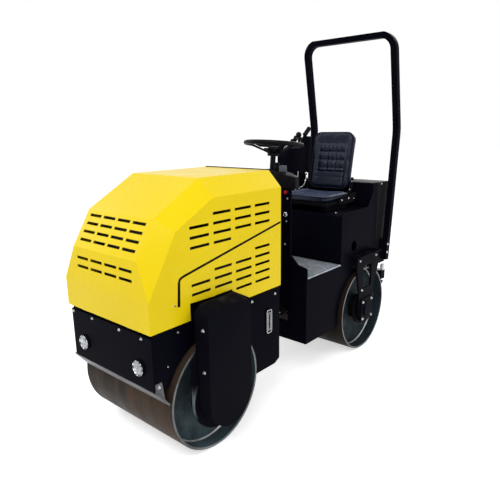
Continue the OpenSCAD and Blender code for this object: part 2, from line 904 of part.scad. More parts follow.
module rops() {
    h = rops_tube / 2;
    half = rops_w / 2;
    front = bend_side(rops_foot, rops_kink, rops_top, rops_bend, h);
    back = bend_side(rops_foot, rops_kink, rops_top, rops_bend, -h);
    color(black) at_rear() intersection() {
        side_plate(-half - 10, rops_w + 20) polygon(concat(front, [for (i = [len(back) - 1 : -1 : 0]) back[i]]));
        cross_plate(0, 500) difference() {
            rops_arch(half, rops_top[1], rops_corner);
            translate([0, -1]) rops_arch(half - rops_tube, rops_top[1] - rops_tube + 1, rops_corner - rops_tube);
        }
    }
}

// spacer between the frame's side and each post
rops_pad_y = [250, 330];
rops_pad_z = [deck_low_z + 2, 700];
module rops_mounts() {
    color(black) at_rear() both_sides()
        span([body_half, body_half + rops_gap], rops_pad_y, rops_pad_z);
}

// ---------------------------------------------------------------- console and steering

dash_low_z = 1132;
dash_half = 215;
dash_top_z = [1196, 1228];   // at the ends and in the middle
dash_depth = 95;
pedestal_depth = 60;
wheel_c = [0, -559, 1371];
wheel_tube_r = 13;
hub_drop = 44;

module console() {
    y0 = -bulkhead_y + plate_t;
    half = pedestal_w / 2;
    color(black) at_rear() difference() {
        span([-half, half], [y0, y0 + pedestal_depth], [floor_z, dash_low_z]);
        span([-half + 5, half - 5], [y0 + 5, y0 + pedestal_depth - 5], [floor_z - 1, dash_low_z - 5]);
    }
}

module dash() {
    y0 = -bulkhead_y;
    color(black) at_rear() cross_plate(y0, dash_depth) polygon([
        [-dash_half, dash_low_z], [-dash_half, dash_top_z[0]], [-40, dash_top_z[1]],
        [40, dash_top_z[1]], [dash_half, dash_top_z[0]], [dash_half, dash_low_z]
    ]);
}

module at_wheel() {
    at_rear() translate(wheel_c) rotate([-column_rake, 0, 0]) children();
}

column_r = 16;
module steering_column() {
    color(black) difference() {
        at_wheel() translate([0, 0, -230]) cylinder(r = column_r, h = 230 - hub_drop - 26);
        at_rear() span([-100, 100], [wheel_c[1] - 150, wheel_c[1] + 50], [1000, dash_top_z[1]]);
    }
}

module steering_wheel() {
    rim_r = wheel_d / 2;
    color(black) at_wheel() {
        rotate_extrude() translate([rim_r, 0]) circle(r = wheel_tube_r);
        translate([0, 0, -hub_drop - 25]) cylinder(r = 34, h = 34);
        for (a = [90, 210, 330]) rotate([0, 0, a]) hull() {
            translate([26, 0, -hub_drop - 4]) cube([8, 44, 10], center = true);
            translate([rim_r - 4, 0, 0]) cube([6, 26, 8], center = true);
        }
    }
}

// box of the side console: x, y, top
side_wall_gap = 5;
side_box_w = 69;
side_box = [
    [side_wall_gap - body_half, side_wall_gap - body_half + side_box_w], [-140, 100], deck_top_z + side_box_h
];
module side_console() {
    back = side_box[1][1];
    color(black) at_rear() side_plate(side_box[0][0], side_box_w) polygon([
        [back, deck_top_z], [back - side_foot, deck_top_z], [side_box[1][0], deck_top_z + side_low_h],
        [side_box[1][0], side_box[2] - side_chamfer[1]], [side_box[1][0] + side_chamfer[0], side_box[2]],
        [back, side_box[2]]
    ]);
}

// upright control levers: [place behind the console's front, length, knob radius]
lever_table = [[200, 84, 20], [124, 44, 14], [80, 30, 12]];
lever_r = 6;
module levers() {
    color(black) at_rear() for (l = lever_table) {
        translate([(side_box[0][0] + side_box[0][1]) / 2, side_box[1][0] + l[0], side_box[2]]) {
            cylinder(r = lever_r, h = l[1]);
            translate([0, 0, l[1]]) sphere(r = l[2]);
        }
    }
}

// emergency stop button on the front of the console's panel
stop_inset = 26;
stop_z = 1112;
stop_neck = [9, 8];       // radius and length
stop_head = [15, 14];
module switches() {
    color("red") at_rear() translate([console_w / 2 - stop_inset, 0, stop_z]) {
        rod_y(stop_neck[0], -bulkhead_y - stop_neck[1], -bulkhead_y);
        rod_y(stop_head[0], -bulkhead_y - stop_neck[1] - stop_head[1], -bulkhead_y - stop_neck[1]);
    }
}

// ---------------------------------------------------------------- seat

rail_x = [120, 160];
pan_z = [988, 1006];
cushion_z = [pan_z[1], 1050];
cushion_y = [-295, 22];
back_lean = 11;
back_w = 322;
back_t = 60;
back_h = 394;
back_at = [0, 25, 1054];
bracket_half = 206;

module seat_frame() {
    color(black) at_rear() both_sides() {
        span(rail_x, [-230, 34], [deck_top_z, pan_z[0]]);
        // side bracket that carries the back
        span([rail_x[1], bracket_half], [-70, 34], [pan_z[0] - 6, pan_z[0]]);
        side_plate(bracket_half - 6, 6) polygon([
            [-70, pan_z[0] - 6], [60, pan_z[0] - 6], [98, 1060], [98, 1092], [72, 1092], [24, 1040], [-70, 1008]
        ]);
        translate(back_at) rotate([-back_lean, 0, 0])
            span([back_w / 2 - 30, bracket_half - 3], [back_t, back_t + 6], [0, 130]);
    }
}

pan_slot_w = 26;
module seat_pan() {
    half = seat_w / 2;
    color(charcoal) at_rear() difference() {
        span([-half + 6, half - 6], [cushion_y[0] + 10, cushion_y[1] - 4], pan_z);
        for (i = [-4 : 4]) translate([i * 38, cushion_y[0] + 10, (pan_z[0] + pan_z[1]) / 2])
            cube([pan_slot_w, 8, 6], center = true);
    }
}

module seat_cushion() {
    half = seat_w / 2;
    color(vinyl) at_rear() span([-half, half], cushion_y, cushion_z);
}

module seat_back() {
    color(vinyl) at_rear() translate(back_at) rotate([-back_lean, 0, 0])
        span([-back_w / 2, back_w / 2], [0, back_t], [0, back_h]);
}

front_frame();
engine_block();
radiator_core();
fuel_tank();
firewall();
hood_hinges();
front_yokes();
motor_guards();
headlights();
front_scraper();
oil_gauge();
hood();
front_drum();
front_drum_hubs();
pivot_block();
pivot_pin();
steer_barrel();
steer_rod();
rear_frame();
floor_plate();
seat_box();
water_tank();
tank_cap();
rear_yokes();
rear_motors();
rops();
rops_mounts();
console();
dash();
steering_column();
side_console();
levers();
switches();
seat_frame();
seat_pan();
seat_cushion();
seat_back();
rear_bumper();
rear_scraper();
steering_wheel();
rear_drum();
rear_drum_hubs();
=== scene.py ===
"""Looks of a ride-on mini vibratory roller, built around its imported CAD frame.

Metres, +Z up. The machine faces -Y and its left side is +X.
"""

import math

import bmesh
import bpy
from mathutils import Matrix, Vector


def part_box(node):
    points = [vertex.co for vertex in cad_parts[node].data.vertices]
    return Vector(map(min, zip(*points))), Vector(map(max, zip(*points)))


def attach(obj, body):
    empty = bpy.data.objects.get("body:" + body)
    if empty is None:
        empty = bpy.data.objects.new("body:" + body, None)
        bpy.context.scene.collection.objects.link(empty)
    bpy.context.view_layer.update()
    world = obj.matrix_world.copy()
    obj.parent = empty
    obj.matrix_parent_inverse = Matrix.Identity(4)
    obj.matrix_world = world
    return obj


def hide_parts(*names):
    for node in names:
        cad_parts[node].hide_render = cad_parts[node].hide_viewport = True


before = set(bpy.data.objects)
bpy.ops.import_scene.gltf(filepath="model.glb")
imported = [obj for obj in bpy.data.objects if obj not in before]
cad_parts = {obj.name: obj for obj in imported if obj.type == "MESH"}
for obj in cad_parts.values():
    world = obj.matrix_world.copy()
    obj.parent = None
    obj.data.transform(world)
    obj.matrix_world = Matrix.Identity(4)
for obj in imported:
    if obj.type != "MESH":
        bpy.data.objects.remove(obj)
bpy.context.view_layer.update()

FRONT = "front_module"
REAR = "rear_module"
MM = 0.001
OUT = Vector((1, 0, 0))
AHEAD = Vector((0, -1, 0))
UP = Vector((0, 0, 1))
SIDES = ((1, "left"), (-1, "right"))


# ---------------------------------------------------------------- places taken from the frame


def low(node):
    return Vector(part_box(node)[0])


def high(node):
    return Vector(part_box(node)[1])


def middle(node):
    return (low(node) + high(node)) / 2


front_axle = middle("front_drum")
rear_axle = middle("rear_drum")
drum_r = (high("front_drum") - low("front_drum")).z / 2
drum_half = high("front_drum").x
frame_half = high("front_frame").x
frame_front = low("front_frame").y
guard_half = high("motor_guards").x
body_half = high("rear_frame").x
hood_half = high("hood").x
shell_t = 0.012  # drum shell's thickness
shell_r = drum_r - shell_t


# ---------------------------------------------------------------- mesh helpers


def new_object(name, data):
    """Puts a mesh, light or camera into the scene."""
    obj = bpy.data.objects.new(name, data)
    bpy.context.scene.collection.objects.link(obj)
    return obj


def from_bmesh(name, bm, body, material, smooth=None):
    """Piece with a bmesh's shape, riding on a body. smooth is an edge angle in degrees."""
    mesh = bpy.data.meshes.new(name)
    bmesh.ops.recalc_face_normals(bm, faces=bm.faces)
    bm.to_mesh(mesh)
    bm.free()
    obj = new_object(name, mesh)
    mesh.materials.append(material)
    if smooth is not None:
        mesh.shade_smooth()
        mesh.set_sharp_from_angle(angle=math.radians(smooth))
    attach(obj, body)
    return obj


def frame_at(place, normal, spin=0.0):
    """Matrix whose local z axis points along normal."""
    turn = Vector(normal).normalized().to_track_quat("Z", "Y").to_matrix().to_4x4()
    return Matrix.Translation(Vector(place)) @ turn @ Matrix.Rotation(spin, 4, "Z")


def add_lathe(bm, profile, matrix, steps=32):
    """Turns a profile of (radius, height) points round local z. Radius 0 closes an end."""
    rings = []
    for radius, height in profile:
        if radius <= 1e-6:
            rings.append([bm.verts.new(matrix @ Vector((0, 0, height)))])
            continue
        ring = []
        for i in range(steps):
            a = 2 * math.pi * i / steps
            ring.append(bm.verts.new(matrix @ Vector((radius * math.cos(a), radius * math.sin(a), height))))
        rings.append(ring)
    for a, b in zip(rings, rings[1:]):
        for i in range(steps):
            j = (i + 1) % steps
            corners = [a[i % len(a)], a[j % len(a)], b[j % len(b)], b[i % len(b)]]
            unique = list(dict.fromkeys(corners))
            if len(unique) > 2:
                bm.faces.new(unique)


def add_box(bm, size, matrix, bevel):
    """Box of a size centred on matrix, its edges rounded by bevel."""
    made = bmesh.ops.create_cube(bm, size=1.0, matrix=matrix @ Matrix.Diagonal((*size, 1)))
    edges = list({e for v in made["verts"] for e in v.link_edges})
    bmesh.ops.bevel(bm, geom=edges, offset=bevel, segments=2, profile=0.5, affect="EDGES")


def join_loops(bm, loops, close=False, cap=True):
    """Skin over loops of vertices, each with the same count, closed in a ring or capped at both ends."""
    count = len(loops[0])
    for a, b in zip(loops, loops[1:] + loops[:1] if close else loops[1:]):
        for i in range(count):
            j = (i + 1) % count
            bm.faces.new((a[i], a[j], b[j], b[i]))
    if cap and not close:
        bm.faces.new(loops[0])
        bm.faces.new(loops[-1])


def add_bolt(bm, place, normal, size, spin=0.3):
    """Hexagon bolt head on a washer, standing on a face. size is the head's width across corners."""
    m = frame_at(place, normal, spin)
    r = size / 2
    sink = -0.4 * MM
    washer = [(0, sink), (1.45 * r, sink), (1.45 * r, 0.08 * size), (1.3 * r, 0.12 * size), (0, 0.12 * size)]
    head = [(0, 0.1 * size), (r, 0.1 * size), (r, 0.5 * size), (0.86 * r, 0.58 * size), (0, 0.58 * size)]
    add_lathe(bm, washer, m, 20)
    add_lathe(bm, head, m, 6)


def bolts(name, body, rows, material):
    """One piece with many bolts. Each row is (place, normal, head size in mm)."""
    bm = bmesh.new()
    for i, (place, normal, size) in enumerate(rows):
        add_bolt(bm, place, normal, size * MM, 0.7 * i)
    return from_bmesh(name, bm, body, material, 40)


def both(points):
    """Each place, normal and size, and its mirror image on the other side."""
    rows = []
    for place, normal, size in points:
        for s, _ in SIDES:
            rows.append(((s * place[0], place[1], place[2]), (s * normal[0], normal[1], normal[2]), size))
    return rows


def tube(name, points, radius, body, material, sides=12, close=False):
    """Round bar that follows points."""
    path = [Vector(p) for p in points]
    bm = bmesh.new()
    rings = []
    count = len(path)
    normal = None
    for i, p in enumerate(path):
        before = path[i - 1] if (i > 0 or close) else path[i]
        after = path[(i + 1) % count] if (i < count - 1 or close) else path[i]
        along = (after - before).normalized()
        if normal is None:
            normal = along.orthogonal().normalized()
        normal = (normal - along * normal.dot(along)).normalized()
        side = along.cross(normal)
        rings.append([
            bm.verts.new(p + radius * (math.cos(a) * normal + math.sin(a) * side))
            for a in (2 * math.pi * k / sides for k in range(sides))
        ])
    join_loops(bm, rings, close)
    return from_bmesh(name, bm, body, material, 50)


def lathe_piece(name, profile, matrix, body, material, steps=40, smooth=35):
    """Turned piece from a profile of (radius, height)."""
    bm = bmesh.new()
    add_lathe(bm, profile, matrix, steps)
    return from_bmesh(name, bm, body, material, smooth)


def box_piece(name, boxes, body, material, smooth=40):
    """Piece made of rounded boxes, each (size, matrix, edge radius)."""
    bm = bmesh.new()
    for size, matrix, bevel in boxes:
        add_box(bm, size, matrix, bevel)
    return from_bmesh(name, bm, body, material, smooth)


def smooth_path(points, steps=8):
    """Catmull-Rom curve through points."""
    pts = [Vector(p) for p in points]
    pts = [2 * pts[0] - pts[1]] + pts + [2 * pts[-1] - pts[-2]]
    path = []
    for a, b, c, d in zip(pts, pts[1:], pts[2:], pts[3:]):
        for k in range(steps):
            t = k / steps
            square, cube = 2 * a - 5 * b + 4 * c - d, 3 * b - a - 3 * c + d
            path.append(0.5 * (2 * b + (c - a) * t + square * t**2 + cube * t**3))
    path.append(pts[-2])
    return path


# ---------------------------------------------------------------- material helpers


class Shade:
    """Small wrapper that builds one material's nodes."""

    def __init__(self, name, **inputs):
        self.mat = bpy.data.materials.new(name)
        self.mat.use_nodes = True
        self.tree = self.mat.node_tree
        self.bsdf = self.tree.nodes["Principled BSDF"]
        for key, value in inputs.items():
            self.set(key, value)
        self.coords = self.add("ShaderNodeTexCoord").outputs["Object"]

    def set(self, key, value):
        socket = self.bsdf.inputs[key.replace("_", " ").title().replace("Ior", "IOR")]
        if isinstance(value, tuple):
            value = (*value, 1.0)
        socket.default_value = value

    def add(self, kind, **settings):
        node = self.tree.nodes.new(kind)
        for key, value in settings.items():
            setattr(node, key, value)
        return node

    def link(self, source, target):
        self.tree.links.new(source, target)

    def feed(self, node, index, value):
        if isinstance(value, bpy.types.NodeSocket):
            self.link(value, node.inputs[index])
        elif isinstance(value, tuple) and node.inputs[index].type == "RGBA":
            node.inputs[index].default_value = (*value, 1.0)
        else:
            node.inputs[index].default_value = value

    def math(self, op, a, b=0.0, c=0.0):
        node = self.add("ShaderNodeMath", operation=op)
        for i, value in enumerate((a, b, c)):
            self.feed(node, i, value)
        return node.outputs[0]

    def scaled(self, scale):
        node = self.add("ShaderNodeMapping")
        self.link(self.coords, node.inputs["Vector"])
        node.inputs["Scale"].default_value = scale
        return node.outputs[0]

    def noise(self, scale, detail=3.0, rough=0.55, stretch=None, twist=0.0):
        node = self.add("ShaderNodeTexNoise")
        self.link(self.scaled(stretch) if stretch else self.coords, node.inputs["Vector"])
        node.inputs["Scale"].default_value = scale
        node.inputs["Detail"].default_value = detail
        node.inputs["Roughness"].default_value = rough
        node.inputs["Distortion"].default_value = twist
        return node.outputs["Fac"]

    def ramp(self, value, start, end, low_value=0.0, high_value=1.0):
        """Smooth step of a value between start and end."""
        node = self.add("ShaderNodeMapRange", interpolation_type="SMOOTHSTEP")
        for i, v in enumerate((value, start, end, low_value, high_value)):
            self.feed(node, i, v)
        return node.outputs[0]

    def mix(self, factor, a, b):
        node = self.add("ShaderNodeMix", data_type="RGBA")
        self.feed(node, 0, factor)
        self.feed(node, 6, a)
        self.feed(node, 7, b)
        return node.outputs[2]

    def axes(self):
        node = self.add("ShaderNodeSeparateXYZ")
        self.link(self.coords, node.inputs[0])
        return node.outputs

    def normal_up(self):
        geo = self.add("ShaderNodeNewGeometry")
        node = self.add("ShaderNodeSeparateXYZ")
        self.link(geo.outputs["Normal"], node.inputs[0])
        return node.outputs["Z"]

    def colour(self, value):
        self.link(value, self.bsdf.inputs["Base Color"])

    def rough(self, value):
        self.link(value, self.bsdf.inputs["Roughness"])

    def bump(self, height, distance, strength=1.0, round_edges=0.0):
        """Bump from a height, over edges that look rounded by a radius."""
        node = self.add("ShaderNodeBump")
        node.inputs["Strength"].default_value = strength
        node.inputs["Distance"].default_value = distance
        self.link(height, node.inputs["Height"])
        if round_edges > 0:
            bevel = self.add("ShaderNodeBevel", samples=4)
            bevel.inputs["Radius"].default_value = round_edges
            self.link(bevel.outputs[0], node.inputs["Normal"])
        self.link(node.outputs[0], self.bsdf.inputs["Normal"])


def paint(name, colour, wear_and_reflection, dust, roughness, gloss=0.008, grain=900, depth=0.00004, coat=0.0):
    """Sprayed paint: tone between colour and a second, rubbed colour, faint orange peel, dust (colour, share) on
    faces that look up.
    """
    s = Shade(name, specular_ior_level=gloss, coat_weight=coat, coat_roughness=0.08)
    tone = s.noise(2.3, 4)
    patch = s.noise(9.0, 5, 0.6)
    colour_out = s.mix(s.ramp(tone, 0.3, 0.75), colour, wear_and_reflection)
    up = s.ramp(s.normal_up(), 0.5, 1.0)
    dusty = s.math("MULTIPLY", s.math("MULTIPLY", up, s.ramp(patch, 0.45, 0.75)), dust[1])
    s.colour(s.mix(dusty, colour_out, dust[0]))
    sheen = s.ramp(patch, 0.2, 0.8, roughness - 0.05, roughness + 0.08)
    s.rough(s.math("ADD", sheen, s.math("MULTIPLY", dusty, 0.25)))
    s.bump(s.noise(grain, 2), depth, 0.6, 0.0018)
    return s.mat


def metal(name, colour, dark, roughness, stretch=(1, 1, 1), grain=120, metallic=1.0):
    """Bare metal with drawn streaks and dull patches."""
    s = Shade(name, metallic=metallic)
    streak = s.noise(grain, 3, 0.6, stretch)
    patch = s.noise(14, 4)
    wear = s.math("MULTIPLY_ADD", streak, 0.5, s.math("MULTIPLY", patch, 0.5))
    s.colour(s.mix(s.ramp(wear, 0.38, 0.62), dark, colour))
    s.rough(s.ramp(streak, 0.25, 0.8, roughness - 0.08, roughness + 0.12))
    s.bump(streak, 0.00005, 0.5, 0.0008)
    return s.mat


def axle_radius(s, axle):
    """Distance from a drum's axis, and x, of the shaded point."""
    x, y, z = s.axes()
    dy = s.math("SUBTRACT", y, axle.y)
    dz = s.math("SUBTRACT", z, axle.z)
    return s.math("SQRT", s.math("ADD", s.math("MULTIPLY", dy, dy), s.math("MULTIPLY", dz, dz))), x


def drum_material(name, axle, painted_shade=1.0):
    """Rolled steel drum: smooth brown roll face, pale rubbed rim, dull blue-grey inside. The last argument scales the
    roll face and inside colours down: painted shade for a drum that stands in shadow.
    """
    s = Shade(name, metallic=0.03, specular_ior_level=0.04)
    radius, x = axle_radius(s, axle)
    rolled = s.ramp(radius, drum_r - 0.0016, drum_r - 0.0008)
    at_end = s.ramp(s.math("ABSOLUTE", x), drum_half - 0.0016, drum_half - 0.0008)
    rim = s.math("MULTIPLY", at_end, s.ramp(radius, shell_r, shell_r + 0.001))
    band = s.noise(4.0, 3, 0.5, (2.4, 0.25, 0.25), 0.2)
    streak = s.noise(3.0, 6, 0.65, (22, 1.6, 1.6), 0.3)
    blotch = s.noise(6.0, 5, 0.62)
    fine = s.noise(160, 3, 0.6, (3, 1, 1))

    # roll face and inside colours scaled by the painted shade factor
    def with_painted_shade(*rgb):
        return tuple(painted_shade * c for c in rgb)

    roll_colour = s.mix(s.ramp(band, 0.35, 0.65), with_painted_shade(0.024, 0.018, 0.014), with_painted_shade(0.054, 0.037, 0.026))
    roll_colour = s.mix(s.ramp(streak, 0.45, 0.75, 0.0, 0.55), roll_colour, with_painted_shade(0.017, 0.013, 0.010))
    rust = s.ramp(s.math("MULTIPLY", band, blotch), 0.27, 0.42, 0.0, 0.5)
    roll_colour = s.mix(rust, roll_colour, with_painted_shade(0.082, 0.042, 0.022))
    rim_colour = s.mix(s.ramp(blotch, 0.4, 0.68), (0.225, 0.245, 0.26), (0.11, 0.11, 0.11))
    inner = s.mix(s.ramp(blotch, 0.42, 0.66), with_painted_shade(0.066, 0.098, 0.114), with_painted_shade(0.034, 0.047, 0.055))
    s.colour(s.mix(rolled, s.mix(rim, inner, rim_colour), roll_colour))
    s.rough(s.ramp(s.math("ADD", blotch, s.math("MULTIPLY", fine, 0.4)), 0.4, 1.0, 0.36, 0.56))
    s.bump(s.math("ADD", fine, s.math("MULTIPLY", streak, 0.6)), 0.0002, 0.6, 0.0015)
    return s.mat


def painted_rim_reflection(name, axle, start):
    """Black paint, with a painted reflection of pale steel round the plate's end from a radius start, strongest level
    with the axle and broken up by noise.
    """
    s = Shade(name, specular_ior_level=0.008)
    radius = axle_radius(s, axle)[0]
    z = s.math("ABSOLUTE", s.math("SUBTRACT", s.axes()[2], axle.z))
    # painted reflection: the rim's edge turns pale steel blue, fading out from 0.02 to 0.10 m above and below the
    # axle
    wear_and_reflection = s.math("MULTIPLY", s.ramp(radius, start, start + 0.001), s.ramp(z, 0.10, 0.02))
    wear_and_reflection = s.math("MULTIPLY", wear_and_reflection, s.ramp(s.noise(28, 4), 0.28, 0.5))
    tone = s.noise(2.3, 4)
    paint_colour = s.mix(s.ramp(tone, 0.3, 0.75), (0.0030, 0.0030, 0.0068), (0.0050, 0.0049, 0.0088))
    s.colour(s.mix(wear_and_reflection, paint_colour, (0.15, 0.18, 0.20)))
    s.rough(s.ramp(tone, 0.3, 0.7, 0.34, 0.46))
    s.bump(s.noise(900, 2), 0.00004, 0.6, 0.0018)
    return s.mat


def reflector_material():
    """Silvered headlight bowl, pressed in small facets, with dark patches of painted reflection."""
    s = Shade("lamp_reflector", metallic=1.0)
    cells = s.add("ShaderNodeTexVoronoi", feature="F1")
    s.link(s.coords, cells.inputs["Vector"])
    cells.inputs["Scale"].default_value = 80
    facet = cells.outputs["Distance"]
    # dark patches mixed into the silver: painted reflection of dark surroundings
    painted_dark_reflections = s.ramp(s.noise(62, 2, 0.5, (1, 1, 1), 0.6), 0.41, 0.53)
    s.colour(s.mix(painted_dark_reflections, (0.78, 0.81, 0.84), (0.045, 0.05, 0.055)))
    s.rough(s.ramp(facet, 0.0, 0.8, 0.10, 0.25))
    s.bump(facet, 0.004, 1.0)
    return s.mat


def plastic(name, colour, roughness, grain=700, depth=0.00006):
    """Moulded plastic or rubber with a fine grain."""
    s = Shade(name, specular_ior_level=0.05)
    patch = s.noise(20, 4)
    faded = tuple(min(1.0, 1.5 * c + 0.003) for c in colour)
    s.colour(s.mix(s.ramp(patch, 0.35, 0.7, 0.0, 0.6), colour, faded))
    s.rough(s.ramp(patch, 0.3, 0.7, roughness - 0.05, roughness + 0.07))
    s.bump(s.noise(grain, 2), depth, 0.8, 0.0008)
    return s.mat


def vinyl_material():
    """Blue-black seat vinyl: pebbled grain, soft sheen, creases a little lighter, and a painted highlight that makes
    it paler where it looks up.
    """
    s = Shade("seat_vinyl", specular_ior_level=0.19, coat_weight=0.02, coat_roughness=0.25)
    cells = s.add("ShaderNodeTexVoronoi", feature="SMOOTH_F1")
    s.link(s.coords, cells.inputs["Vector"])
    cells.inputs["Scale"].default_value = 620
    cells.inputs["Smoothness"].default_value = 0.6
    grain = cells.outputs["Distance"]
    crease = s.noise(26, 5, 0.6, (1, 1, 1), 1.2)
    base = s.mix(s.ramp(crease, 0.35, 0.7), (0.0016, 0.0034, 0.0120), (0.0060, 0.0100, 0.0270))
    # faces that look up are mixed towards pale blue: painted light from above
    s.colour(s.mix(s.ramp(s.normal_up(), 0.40, 0.95), base, (0.046, 0.060, 0.108)))
    s.rough(s.ramp(crease, 0.3, 0.75, 0.28, 0.42))
    s.bump(s.math("ADD", grain, s.math("MULTIPLY", crease, 1.5)), 0.0003, 0.55)
    return s.mat


def glass_material(name, with_painted_shade):
    """Clear glass with a faint ripple."""
    s = Shade(name, transmission_weight=0.85, coat_weight=0.1)
    ripple = s.noise(160, 2)
    s.colour(s.mix(s.ramp(ripple, 0.3, 0.7), with_painted_shade, tuple(0.8 * c for c in with_painted_shade)))
    s.rough(s.ramp(ripple, 0.3, 0.7, 0.05, 0.16))
    s.bump(ripple, 0.0001, 0.4)
    return s.mat


yellow = paint(
    "yellow_gloss", (0.83, 0.625, 0.005), (0.79, 0.585, 0.004), ((0.78, 0.64, 0.10), 0.05), 0.26,
    gloss=0.10, grain=700, depth=0.00001, coat=0.03,
)
black = paint("black_satin", (0.0018, 0.0018, 0.0050), (0.0034, 0.0033, 0.0068), ((0.020, 0.020, 0.024), 0.4), 0.34)
guard_dust = ((0.045, 0.043, 0.036), 0.6)
guard_black = paint("guard_satin", (0.0034, 0.0034, 0.0068), (0.0056, 0.0056, 0.0088), guard_dust, 0.38)
fork_black = paint("fork_satin", (0.0055, 0.0055, 0.0070), (0.0095, 0.0095, 0.0110), ((0.03, 0.03, 0.032), 0.3), 0.42)
iron = paint(
    "engine_grey", (0.030, 0.031, 0.033), (0.055, 0.055, 0.055), ((0.09, 0.085, 0.07), 0.8), 0.6,
    gloss=0.2, grain=300, depth=0.0003,
)
bare = metal("bare_steel", (0.36, 0.36, 0.365), (0.16, 0.155, 0.15), 0.42, (1, 1, 8))
zinc = metal("zinc_bolt", (0.62, 0.63, 0.64), (0.38, 0.38, 0.38), 0.34, (1, 1, 1), 400)
chrome = metal("rod_chrome", (0.72, 0.73, 0.74), (0.58, 0.58, 0.59), 0.18, (1, 12, 1), 90)
tread = metal("tread_plate", (0.42, 0.46, 0.51), (0.26, 0.29, 0.325), 0.46, (1, 1, 1), 60, 0.35)
rubber = plastic("rubber_black", (0.0045, 0.0045, 0.0055), 0.5)
moulded = plastic("moulded_black", (0.0052, 0.0052, 0.0068), 0.38)
groove_black = plastic("groove_black", (0.0022, 0.0022, 0.0026), 0.7, 500)
dull_plastic = plastic("dull_plastic", (0.085, 0.095, 0.105), 0.45)
marker_white = plastic("marker_white", (0.78, 0.80, 0.83), 0.35, 300)
blade_steel = metal("blade_steel", (0.15, 0.15, 0.16), (0.07, 0.068, 0.07), 0.45, (1, 1, 8), 120, 0.5)
tank_plastic = plastic("tank_black", (0.0046, 0.0046, 0.0060), 0.42, 300, 0.00012)
pale_plastic = plastic("pale_plastic", (0.36, 0.38, 0.41), 0.4)
red_plastic = plastic("red_plastic", (0.36, 0.008, 0.012), 0.3)
vinyl = vinyl_material()
piping_mat = plastic("seat_piping", (0.0075, 0.0100, 0.0180), 0.36, 900)
lens_glass = glass_material("lamp_lens", (0.90, 0.92, 0.94))
reflector = reflector_material()
front_steel = drum_material("front_drum_steel", front_axle)
# the rear drum's roll face and inside at 0.4 of their colour: painted shade, as it stands in shadow
rear_steel_painted_shade = drum_material("rear_drum_shaded_steel", rear_axle, 0.4)
# front yokes: black paint with a painted reflection along the rim's edge
front_yoke_reflection_paint = painted_rim_reflection("front_yoke_reflection_paint", front_axle, 0.1665)

# the CAD nodes of each material
node_materials = (
    (yellow, "hood"),
    (black, "front_frame firewall hood_hinges rear_frame seat_box rear_yokes rops rops_mounts console"),
    (black, "side_console rear_bumper"),
    (guard_black, "motor_guards rear_motors"),
    (fork_black, "front_drum_hubs rear_drum_hubs pivot_block steer_barrel seat_frame seat_pan"),
    (front_yoke_reflection_paint, "front_yokes"),
    (iron, "engine_block radiator_core"),
    (tank_plastic, "fuel_tank water_tank"),
    (moulded, "headlights oil_gauge tank_cap dash steering_column levers steering_wheel"),
    (red_plastic, "switches"),
    (vinyl, "seat_cushion seat_back"),
    (front_steel, "front_drum"),
    (rear_steel_painted_shade, "rear_drum"),
    (blade_steel, "front_scraper"),
    (bare, "pivot_pin rear_scraper"),
    (chrome, "steer_rod"),
    (tread, "floor_plate"),
)
for material, nodes in node_materials:
    for node in nodes.split():
        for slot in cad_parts[node].material_slots:
            slot.material = material


# ---------------------------------------------------------------- seat


def rounded_slab(size, corner, edge):
    """Slab centred on the origin, with a large corner radius in plan and rounded top and bottom edges."""
    bm = bmesh.new()
    bmesh.ops.create_cube(bm, size=1.0, matrix=Matrix.Diagonal((*size, 1)))
    upright = [e for e in bm.edges if abs(e.verts[0].co.z - e.verts[1].co.z) > 0.5 * size[2]]
    bmesh.ops.bevel(bm, geom=upright, offset=corner, segments=8, profile=0.5, affect="EDGES")
    level = [e for e in bm.edges if abs(e.calc_face_angle(0)) > 1.0]
    bmesh.ops.bevel(bm, geom=level, offset=edge, segments=5, profile=0.5, affect="EDGES")
    return bm


def swell(obj, voxel, pressure, cap):
    """Remeshes a pad and lets cloth pressure fill it, no point moving further than cap."""
    remesh = obj.modifiers.new("remesh", "REMESH")
    remesh.mode = "VOXEL"
    remesh.voxel_size = voxel
    bpy.context.view_layer.objects.active = obj
    for other in bpy.context.selected_objects:
        other.select_set(False)
    obj.select_set(True)
    bpy.ops.object.modifier_apply(modifier="remesh")
    start = [v.co.copy() for v in obj.data.vertices]
    cloth = obj.modifiers.new("cloth", "CLOTH")
    cloth.settings.use_pressure = True
    cloth.settings.uniform_pressure_force = pressure
    cloth.settings.effector_weights.gravity = 0.0
    cloth.settings.quality = 4
    first, last = 1, 20
    cloth.point_cache.frame_start = first
    cloth.point_cache.frame_end = last
    scene = bpy.context.scene
    for f in range(first, last + 1):
        scene.frame_set(f)
    bpy.ops.object.modifier_apply(modifier="cloth")
    scene.frame_set(first)
    for v, old in zip(obj.data.vertices, start):
        move = v.co - old
        if move.length > cap:
            v.co = old + move * (cap / move.length)


def channel(distance, width):
    """1 in the middle of a sewn channel, 0 outside it."""
    return math.exp(-((distance / width) ** 2))


def tuft(value, lines):
    """How far a value lies between its two neighbouring sewn lines, 0 on a line and 1 half way."""
    for a, b in zip(lines, lines[1:]):
        if a <= value <= b:
            t = (value - a) / (b - a)
            return (4 * t * (1 - t)) ** 0.5
    return 0.0


